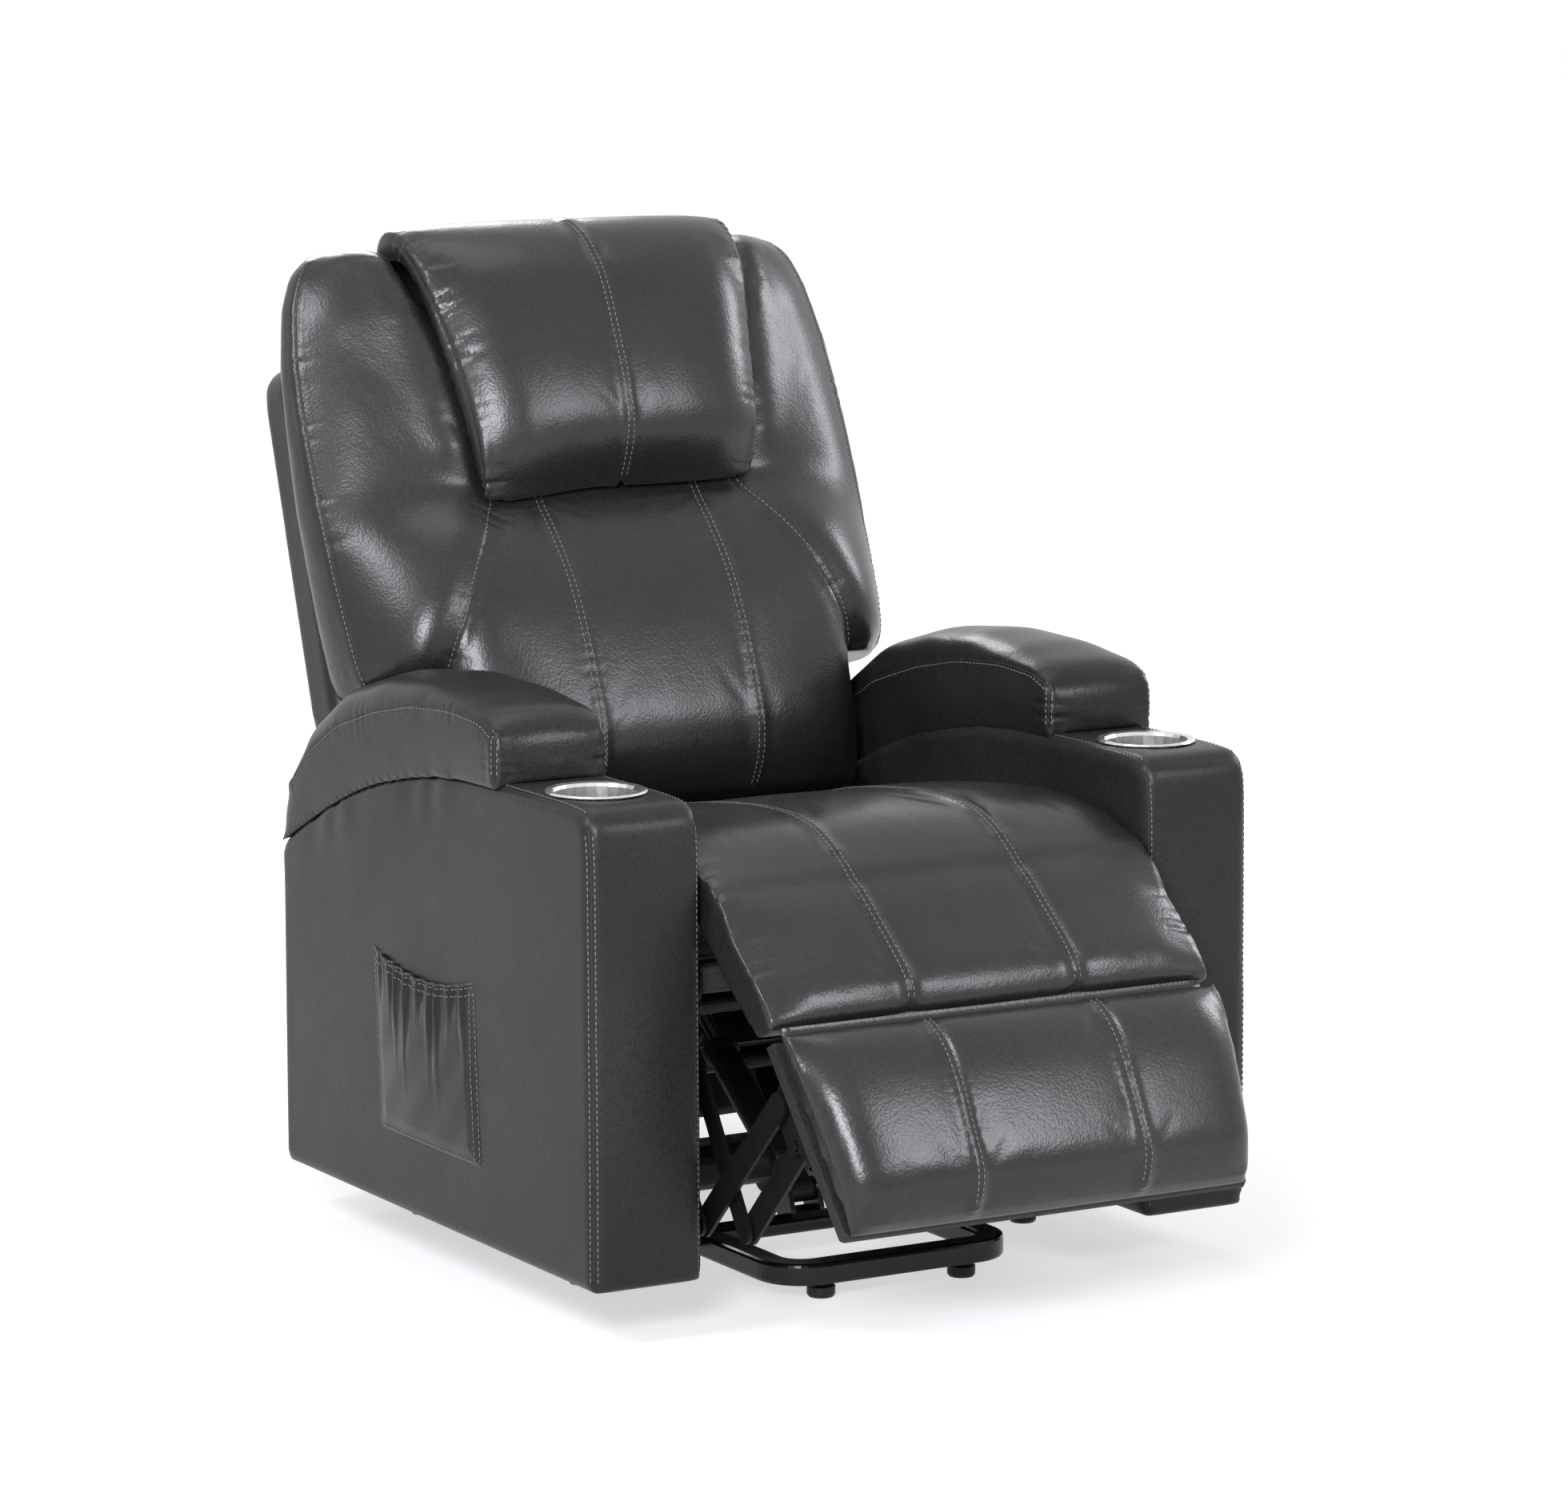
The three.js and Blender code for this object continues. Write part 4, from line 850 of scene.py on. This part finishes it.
# Along the backrest's height: the wings' swell beside the pillow, and their outer edge's y and half width.
RIDGE = ([430, 480, 560, 630, 680, 715, 740], [0, 12, 12, 16, 24, 24, 6])
WING_HEIGHTS = [200, 235, 273, 344, 437, 526, 603, 672, 710, 738]
WING_EDGE = (WING_HEIGHTS, [73, 72, 74, 82, 90, 99, 107, 113, 115, 122])
WING_OUT = (WING_HEIGHTS, [346, 353, 357, 361, 364, 362, 357, 344, 329, 304])


def hold_back(co):
    p = to_back(co)
    wide = abs(p[:, 0])
    rear = past(p[:, 1], 132, 24)
    channel = near(wide, SEAM_X, 7) * (p[:, 2] < 430) * (p[:, 1] < 60) * 0.7
    curved = near(wide, back_half(p[:, 2]), 7) * (p[:, 2] > 196) * 0.95
    edge_y = np.interp(p[:, 2], *WING_EDGE)
    edge_x = np.interp(p[:, 2], *WING_OUT)
    piping = near(p[:, 1], edge_y, 9) * near(wide, edge_x, 12) * 0.9
    low = (1 - past(p[:, 2], 62, 12)) * (wide < 268)
    side = past(wide, 259, 8) * (p[:, 2] < 206)
    return np.maximum.reduce([rear, channel, curved, piping, low, side * 0.9])


def back_channel(co):
    p = to_back(co)
    return (p[:, 2] < 425) & (p[:, 1] < 60)


def make_back():
    """The back cushion and both wings, swollen beside the pillow and rolled at the wings' edges."""
    parts = ["back_cushion", "back_wing_left", "back_wing_right"]
    obj = remeshed("back_cover", parts, 0.0055, 44, hold_back)
    co = coords(obj.data)
    local = to_back(co)
    under = smoothstep(local[:, 2], 672, 699) * (1 - past(abs(local[:, 0]), 232, 8))
    co += under[:, None] * 0.011 * BACK_UP
    inside = np.clip((np.interp(local[:, 2], *WING_OUT) - abs(local[:, 0])) / 60, 0, 1)
    rolled = 0.008 * (1 - inside) ** 2 * (1 - smoothstep(local[:, 1], 74, 134)) * (local[:, 2] > 190)
    co += rolled[:, None] * BACK_IN
    ridge = np.interp(local[:, 2], *RIDGE) * near(abs(local[:, 0]), pillow_half(local[:, 2]) + 18, 34)
    set_coords(obj.data, co - (ridge * (1 - past(local[:, 1], 120, 30)) / 1000)[:, None] * BACK_IN)
    raise_channels(obj, [SEAM_X], 0.0022, back_channel)
    Puff(obj, hold_back, shrink=0.003, cap=0.007)
    return obj


def hold_pillow(co):
    p = to_back(co)
    seam = near(p[:, 0], 0, 6) * (p[:, 1] < 100) * 0.8
    side = past(abs(p[:, 0]), pillow_half(p[:, 2]) - 3, 9) * 0.93
    behind = past(p[:, 1], 22, 14) * (p[:, 2] < 690)
    hook = past(p[:, 1], 60, 20) * (p[:, 2] < 716)
    return np.maximum.reduce([seam, side, behind, hook])


def make_pillow():
    """The head pillow, whose lower end droops on the sitter's right and bellies out."""
    obj = remeshed("head_pillow_cover", ["head_pillow"], 0.0045, 44, hold_pillow)
    raise_channels(obj, [0], 0.0030, lambda co: to_back(co)[:, 1] < 56)
    co = coords(obj.data)
    local = to_back(co)
    droop = smoothstep(-local[:, 0], 30, 185) * (1 - smoothstep(local[:, 2], 414, 520))
    co -= droop[:, None] * 0.013 * BACK_UP
    belly = 0.007 * near(local[:, 2], 470, 45) - 0.005 * near(local[:, 2], 600, 55)
    belly -= 0.007 * smoothstep(abs(local[:, 0]) - pillow_half(local[:, 2]), -62, -4)
    set_coords(obj.data, co - (belly * (1 - past(local[:, 1], 26, 20)))[:, None] * BACK_IN)
    Puff(obj, hold_pillow, shrink=0.003, cap=0.009)
    return obj


# Side views: the arm pad's seam as (y, z) pairs, and the top of the arm under it as ys and zs.
PAD_X = 355
PAD_SEAM = [(-162, 634), (-132, 646), (-60, 649), (30, 642), (120, 624), (217, 595), (288, 556), (341, 508)]
ARM_TOP = ([-376, -152, -50, 8, 67, 148, 230, 304, 362], [579, 579, 575, 568, 557, 537, 507, 474, 446])


def hold_pad(co):
    p = to_mm(co)
    under = 1 - past(p[:, 2] - np.interp(p[:, 1], *ARM_TOP), 10, 8)
    seam_z = np.interp(p[:, 1], *zip(*PAD_SEAM))
    wide = abs(abs(p[:, 0]) - PAD_X)
    seam = near(p[:, 2], seam_z, 7) * past(wide, 66, 6) * 0.9
    front = past(-p[:, 1], 158, 8) * past(wide, 64, 6) * 0.9
    return np.maximum.reduce([under, seam, front])


def pad_roll(co):
    """The pad's front upper edge, which rolls over."""
    p = to_mm(co)
    side = past(abs(abs(p[:, 0]) - PAD_X), 68, 14)
    return past(-p[:, 1], 120, 40) * past(p[:, 2], 632, 26) * (1 - side * 0.5)


def make_pad(side):
    obj = remeshed("arm_pad_cover_" + side, ["arm_pad_" + side], 0.0045, 50, hold_pad)
    Puff(obj, hold_pad, shrink=0.002, cap=0.006)
    return obj


def settled_pad(pad):
    """The pad with its front edge rolled over and its lower side edges brought down to the arm."""
    relaxed(pad, 22, pad_roll)
    co = coords(pad.data)
    p = to_mm(co)
    above = p[:, 2] - np.interp(p[:, 1], *ARM_TOP)
    co[:, 2] -= 0.007 * (1 - past(above, 24, 24)) * past(abs(abs(p[:, 0]) - PAD_X), 66, 20)
    set_coords(pad.data, co)


seat = make_seat()
rest = make_rest()
back = make_back()
pillow = make_pillow()
pads = {side: make_pad(side) for side in ("left", "right")}
Puff.run()
for cover in (seat, rest, back, pillow, *pads.values()):
    relaxed(cover, 3)
    if cover in pads.values():
        settled_pad(cover)
    refined(cover)


# ---- seams of the covers

ROW_GAP = 0.0036  # from a seam to the stitches beside it
WIDE_GAP = 0.0042
FACE_IN = from_back((0, 1, 0)) - from_back((0, 0, 0))
FLAT_SEAM = {"depth": 0.0012, "width": 0.004, "pucker": 0.0006, "reach": 0.012, "wave": 0.014}
PILLOW_EDGE = [(24, 424), (13, 444), (7, 480), (5, 530), (9, 590), (20, 646), (42, 700), (66, 736), (90, 751)]


def double_row(surface, line, body):
    """A seam with a row of stitches on each side."""
    seam_shade_line(surface, line, body)
    for offset in (-ROW_GAP, ROW_GAP):
        stitch_row(surface, line, body, offset)


def seat_line(surface, x, last_y, first_y, last_down):
    """The line at X over the seat and down the calf pad."""
    over = surface.trace([mm(x, y, 700) for y in np.arange(first_y, last_y, -8)], (0, 0, -1))
    start = [slope_point(CALF_PIVOT, CALF_SLOPE, x, d, 150) for d in np.arange(16, last_down, 6)]
    over += surface.trace(start, -slope_out(CALF_SLOPE))
    return softened(evenly(over, 0.006), 4)


def sew_seat(seat):
    surface = Surface(seat)
    lines = [seat_line(surface, x, -378, 160, 158) for x in (-SEAM_X, SEAM_X)]
    groove(seat, lines, **FLAT_SEAM)
    edges = [seat_line(surface, x, -372, 100, 150) for x in (-SEAT_EDGE_X, SEAT_EDGE_X)]
    groove(seat, edges, 0.0012, 0.004, pucker=0.0018, reach=0.026, wave=0.024)
    surface.refresh()
    for line in lines:
        double_row(surface, line, BEND)


def sew_rest(rest):
    surface = Surface(rest)
    lines = []
    for x in (-SEAM_X, SEAM_X):
        start = [slope_point(BOARD_PIVOT, BOARD_SLOPE, x, d, 200) for d in np.arange(2, 216, 6)]
        lines.append(surface.line(start, -slope_out(BOARD_SLOPE), 0.006, 3))
    groove(rest, lines, **FLAT_SEAM)
    surface.refresh()
    for line in lines:
        double_row(surface, line, "footrest")


def sew_back(back):
    """The two straight channels, the curved seams of the lumbar cushion and the wings' piping."""
    surface = Surface(back)
    channels, curves, pipings = [], [], []
    for sign in (-1, 1):
        channel = [back_mm(sign * SEAM_X, -300, z) for z in np.arange(50, 470, 8)]
        channels.append(surface.line(channel, FACE_IN, 0.006, 4))
        curve = [back_mm(sign * float(back_half(z)), -300, z) for z in np.arange(204, 480, 7)]
        curves.append(surface.line(curve, FACE_IN, 0.006, 4))
        edge = []
        for z in np.arange(210, 724, 8):
            out, y = float(np.interp(z, *WING_OUT)), float(np.interp(z, *WING_EDGE))
            edge.append(back_mm(sign * (out - 3), y - 4, z))
        pipings.append(softened(evenly(surface.snapped(edge), 0.006), 6))
    groove(back, channels, **FLAT_SEAM)
    groove(back, curves, 0.0022, 0.005, pucker=0.0012, reach=0.022, wave=0.020)
    groove(back, pipings, 0.0010, 0.003, pucker=0.0011, reach=0.020, wave=0.027)
    surface.refresh()
    for line in channels:
        double_row(surface, line, "backrest")
    for sign, line in zip((-1, 1), curves):
        seam_shade_line(surface, line, "backrest")
        stitch_row(surface, line, "backrest", WIDE_GAP, toward=(sign, 0, 0))
    for line in pipings:
        seam_shade_line(surface, line, "backrest", 0.0008)
        stitch_row(surface, line, "backrest", 0.0034)


def sew_pillow(pillow):
    surface = Surface(pillow)
    middle = surface.line([back_mm(0, -300, z) for z in np.arange(428, 752, 7)], FACE_IN, 0.006, 4)
    sides = []
    for sign in (-1, 1):
        edge = [back_mm(sign * float(pillow_half(z)), y - 1, z) for y, z in PILLOW_EDGE]
        sides.append(softened(evenly(surface.snapped(evenly(edge, 0.01)), 0.005), 6))
    groove(pillow, [middle], **FLAT_SEAM)
    groove(pillow, sides, 0.0016, 0.0035, pucker=0.0024, reach=0.024, wave=0.019)
    surface.refresh()
    double_row(surface, middle, "backrest")
    for line in sides:
        seam_shade_line(surface, line, "backrest", 0.0008)


def sew_pad(side, pad):
    """On each side, a long seam with one row of stitches, and an upright one at the front with two."""
    sign = 1 if side == "left" else -1
    surface = Surface(pad)
    longs, uprights = [], []
    for edge in (-1, 1):
        run = [mm(sign * (PAD_X + edge * 73), y, z) for y, z in PAD_SEAM]
        longs.append(softened(evenly(surface.snapped(evenly(run, 0.01)), 0.005), 5))
        drop = [mm(sign * (PAD_X + edge * 69), -166, z) for z in np.arange(588, 636, 5)]
        uprights.append(softened(evenly(surface.snapped(drop), 0.004), 3))
    groove(pad, longs, 0.0012, 0.003, pucker=0.0008, reach=0.016, wave=0.024)
    groove(pad, uprights, 0.0018, 0.004, pucker=0.0026, reach=0.022, wave=0.018)
    surface.refresh()
    for long, upright in zip(longs, uprights):
        seam_shade_line(surface, long, "chair", 0.0008)
        stitch_row(surface, long, "chair", ROW_GAP)
        seam_shade_line(surface, upright, "chair", 0.0008)
        for offset in (ROW_GAP, -ROW_GAP):
            stitch_row(surface, upright, "chair", offset)


sew_seat(seat)
sew_rest(rest)
sew_back(back)
sew_pillow(pillow)
for side, pad in pads.items():
    sew_pad(side, pad)


# ---- arms

ARM_MIDDLE, ARM_HALF_LENGTH, ARM_HALF_HEIGHT = 318, 376, 262
ARM_FRONT_SEAMS = (416, 287)  # the outer edge, which has two rows of stitches, and the inner edge
ARM_TOP_SEAMS = (415, 288)


def arm_corner(co):
    """The arm's upper front edge, which is rounder than its solid's."""
    p = to_mm(co)
    return past(-p[:, 1], 336, 30) * past(p[:, 2], 548, 22)


def swell_arm(arm):
    """Crowns the arm's outer side and front, and puts soft folds in the side under the pad."""
    co, no = coords(arm.data), normals(arm.data)
    p = to_mm(co)
    top = np.interp(p[:, 1], *ARM_TOP)
    y, z = p[:, 1] / ARM_HALF_LENGTH, (p[:, 2] - ARM_MIDDLE) / ARM_HALF_HEIGHT
    wide = abs(p[:, 0])
    panel = np.clip(1 - y ** 4, 0, 1) * np.clip(1 - abs(z) ** 4, 0, 1)
    outer = past(wide, 415, 4) * (abs(no[:, 0]) > 0.8)
    co += no * (outer * panel * 0.0045)[:, None]
    front = (p[:, 1] < -364) * (no[:, 1] < -0.8)
    round_x = np.clip(1 - ((wide - 351.5) / 66) ** 2, 0, 1)
    co += no * (front * round_x * np.clip(1 - abs(z) ** 6, 0, 1) * 0.0055)[:, None]
    fold = np.sin(p[:, 1] / 13 + np.sin(p[:, 1] / 37) * 2) * near(p[:, 2], top - 20, 26)
    fold *= p[:, 1] > -140
    co += no * (fold * outer * 0.0007)[:, None]
    set_coords(arm.data, co)


def make_arm(side):
    sign = 1 if side == "left" else -1
    arm = remeshed("arm_cover_" + side, ["arm_" + side], 0.006, 6)
    relaxed(arm, 14, arm_corner)
    swell_arm(arm)
    surface = Surface(arm)
    lines = []
    for x in ARM_FRONT_SEAMS:
        run = [mm(sign * x, -600, z) for z in np.arange(70, 566, 8)]
        lines.append(surface.line(run, (0, 1, 0), 0.005, 3))
    for x in ARM_TOP_SEAMS:
        run = [mm(sign * x, y, 800) for y in np.arange(-352, 372, 8)]
        lines.append(surface.line(run, (0, 0, -1), 0.005, 4))
    groove(arm, lines, 0.0012, 0.004)
    surface.refresh()
    for i, line in enumerate(lines):
        seam_shade_line(surface, line, "chair", 0.0008)
        inward = (-sign if i in (0, 2) else sign, 0, 0)
        stitch_row(surface, line, "chair", WIDE_GAP, toward=inward)
        if i == 0:
            stitch_row(surface, line, "chair", -WIDE_GAP, toward=inward)
    return arm


arms = {side: make_arm(side) for side in ("left", "right")}


# ---- outer back and cloths

def make_shell():
    """The outer back, slightly bulged to the rear, with a seam down each side."""
    obj = remeshed("back_shell_cover", ["back_shell"], 0.007, 6)
    co, no = coords(obj.data), normals(obj.data)
    local = to_back(co)
    bulge = (no @ np.array(FACE_IN) > 0.7) * np.clip(1 - (local[:, 0] / 345) ** 4, 0, 1)
    bulge *= np.clip(1 - ((local[:, 2] - 390) / 225) ** 4, 0, 1)
    set_coords(obj.data, co + no * (bulge * 0.006)[:, None])
    surface = Surface(obj)
    for sign in (-1, 1):
        run = surface.trace([back_mm(sign * 334, 500, z) for z in np.arange(170, 606, 8)], -FACE_IN)
        seam_shade_line(surface, run, "backrest", 0.0008)
        stitch_row(surface, run, "backrest", 0.004)
    return obj


shell = make_shell()


def cloth(name, across, down, place, thickness, offset):
    """A cloth of ACROSS by DOWN faces, whose point (s, t) is at PLACE(s, t)."""
    verts = [place(i / across, j / down) for j in range(down + 1) for i in range(across + 1)]
    row = across + 1
    faces = [(j * row + i, j * row + i + 1, (j + 1) * row + i + 1, (j + 1) * row + i)
             for j in range(down) for i in range(across)]
    obj = mesh_object(name, verts, faces)
    solid = obj.modifiers.new("thickness", "SOLIDIFY")
    solid.thickness, solid.offset = thickness, offset
    return evaluated(obj)


SKIRT_LOW, SKIRT_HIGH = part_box("rear_skirt")


def skirt_place(s, t):
    low, high = SKIRT_LOW, SKIRT_HIGH
    wave = 0.0012 * math.sin(s * 31) * (1 - t) + 0.0009 * math.sin(s * 13 + 2)
    return (low.x + s * (high.x - low.x), (low.y + high.y) / 2 + wave, low.z + t * (high.z - low.z))


skirt = cloth("rear_skirt_cover", 90, 24, skirt_place, 0.0028, 0)

# The pocket has its solid's outline on the arm's side, and gathers that fade out below the hem.
POCKET = {"front": -120, "back": 130, "top": 356, "bottom": 147, "slant": 13, "sag": 20}
FACE_X = -0.4203  # the side of the arm's cover


def pocket_place(s, t):
    y = POCKET["front"] + s * (POCKET["back"] - POCKET["front"]) - POCKET["slant"] * (1 - t)
    hem = POCKET["top"] - POCKET["sag"] * math.sin(math.pi * s) ** 0.8
    z = POCKET["bottom"] + t * (hem - POCKET["bottom"])
    rim = min(1, 10 * s, 10 * (1 - s), 9 * t + 0.05)
    wide = math.sin(math.pi * s) ** 0.5
    belly = (4.0 + 7.5 * math.sin(math.pi * min(1, 0.08 + 0.9 * t)) ** 0.7 * wide) * rim ** 0.5
    below = (1 - t) / (0.26 + 0.12 * math.sin(s * 19 + 1))
    drift = s + 0.03 * (1 - t) * math.sin(s * 9)
    folds = math.sin(drift * 2 * math.pi * 9.5 + 0.8 * math.sin(s * 17))
    folds += 0.5 * math.sin(drift * 2 * math.pi * 17 + 1)
    gather = 2.4 * folds * math.exp(-below * below) * rim
    crumple = 0.8 * math.sin(s * 15 + t * 9) * math.sin(t * 7 + s * 6) * rim
    return (FACE_X - (1.6 + belly + gather + crumple) / 1000, y / 1000 + SHIFT, z / 1000)


def pocket_stitches(surface):
    """One row up each side and along the bottom, a second up the front, and two along the hem."""
    frames = [[(s, t) for t in np.linspace(0.03, 0.97, 50)] for s in (0.02, 0.055, 0.98)]
    frames += [[(s, 0.03) for s in np.linspace(0.03, 0.97, 60)]]
    frames += [[(s, t) for s in np.linspace(0.02, 0.98, 120)] for t in (0.975, 0.935)]
    for path in frames:
        stitch_row(surface, [Vector(pocket_place(s, t)) for s, t in path], "chair", lift=0.0004)


def pocket_hem():
    verts, faces = [], []
    rim = [Vector(pocket_place(s, 0.995)) for s in np.linspace(0.005, 0.995, 120)]
    tube(verts, faces, rim, 0.0021, 8)
    return mesh_object("pocket_hem", verts, faces)


pocket = cloth("side_pocket_cover", 170, 80, pocket_place, 0.0016, 1)
pocket_stitches(Surface(pocket))
hem = pocket_hem()

GUSSET_WIDTH, FLAP_WIDTH = 0.524, 0.528
CALF_END = slope_point(CALF_PIVOT, CALF_SLOPE, 0, 152, 16)
BOARD_TOP = slope_point(BOARD_PIVOT, BOARD_SLOPE, 0, 14, 20)


def gusset_place(s, t):
    """A cloth between the seat's rear edge and the back's foot."""
    y, z = 166 + 92 * t, 452 - 22 * math.sin(math.pi * t) + 12 * t
    return mm(GUSSET_WIDTH * 1000 * (s - 0.5), y, z)


def flap_place(s, t):
    """A cloth that joins the calf pad's lower end to the footrest's upper end."""
    dip = Vector((0, 0.008, -0.004)) * math.sin(math.pi * t)
    return CALF_END.lerp(BOARD_TOP, t) + dip + Vector((FLAP_WIDTH * (s - 0.5), 0, 0))


gusset = cloth("back_gusset", 40, 14, gusset_place, 0.002, 0)
flap = cloth("footrest_flap", 40, 10, flap_place, 0.002, 0)


# ---- what each piece rides on and stands for

PADDED = [  # piece, body, material, fill, the nodes it stands for
    (rest, "footrest", LEATHER, 0.75, "footrest_pad"),
    (back, "backrest", LEATHER, 0.8, "back_cushion", "back_wing_left", "back_wing_right"),
    (pillow, "backrest", LEATHER, 0.75, "head_pillow"),
    (shell, "backrest", LEATHER_SHADED_PANELS, 0.5, "back_shell"),
    (pads["left"], "chair", LEATHER_SHADED_PADS, 0.75, "arm_pad_left"),
    (pads["right"], "chair", LEATHER_SHADED_PADS, 0.75, "arm_pad_right"),
    (arms["left"], "chair", LEATHER_SHADED_PANELS, 0.5, "arm_left"),
    (arms["right"], "chair", LEATHER_SHADED_PANELS, 0.5, "arm_right"),
]


def dress(piece, body, material, *stands_for):
    """The piece's material, the one body that it follows or, for a pair of bodies, its transform baked in
    place, and the nodes it replaces.
    """
    shaded(piece, material)
    if isinstance(body, str):
        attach(piece, body)
    else:
        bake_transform(piece)
    if stands_for:
        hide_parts(*stands_for)


for piece, body, material, fill, *stands_for in PADDED:
    dress(piece, body, material, *stands_for)
dress(skirt, "chair", LEATHER_SHADED_PANELS, "rear_skirt")
dress(pocket, "chair", LEATHER_SHADED_PADS, "side_pocket")
dress(hem, "chair", LEATHER)
dress(gusset, ("chair", "backrest", mm(0, 170, 452), mm(0, 250, 462)), LEATHER_SHADED_PANELS)
dress(flap, ("calf_rest", "footrest", CALF_END, BOARD_TOP), LEATHER)
dress(seat, (*BEND, BEND_FROM, BEND_TO), LEATHER, "seat_cushion", "calf_pad")
make_threads_and_seam_shades()

NODES["footrest_board"].data.materials[0] = LEATHER_SHADED_PANELS  # its underside is covered too

make_camera()
studio()
bpy.context.scene.view_settings.view_transform = "Standard"
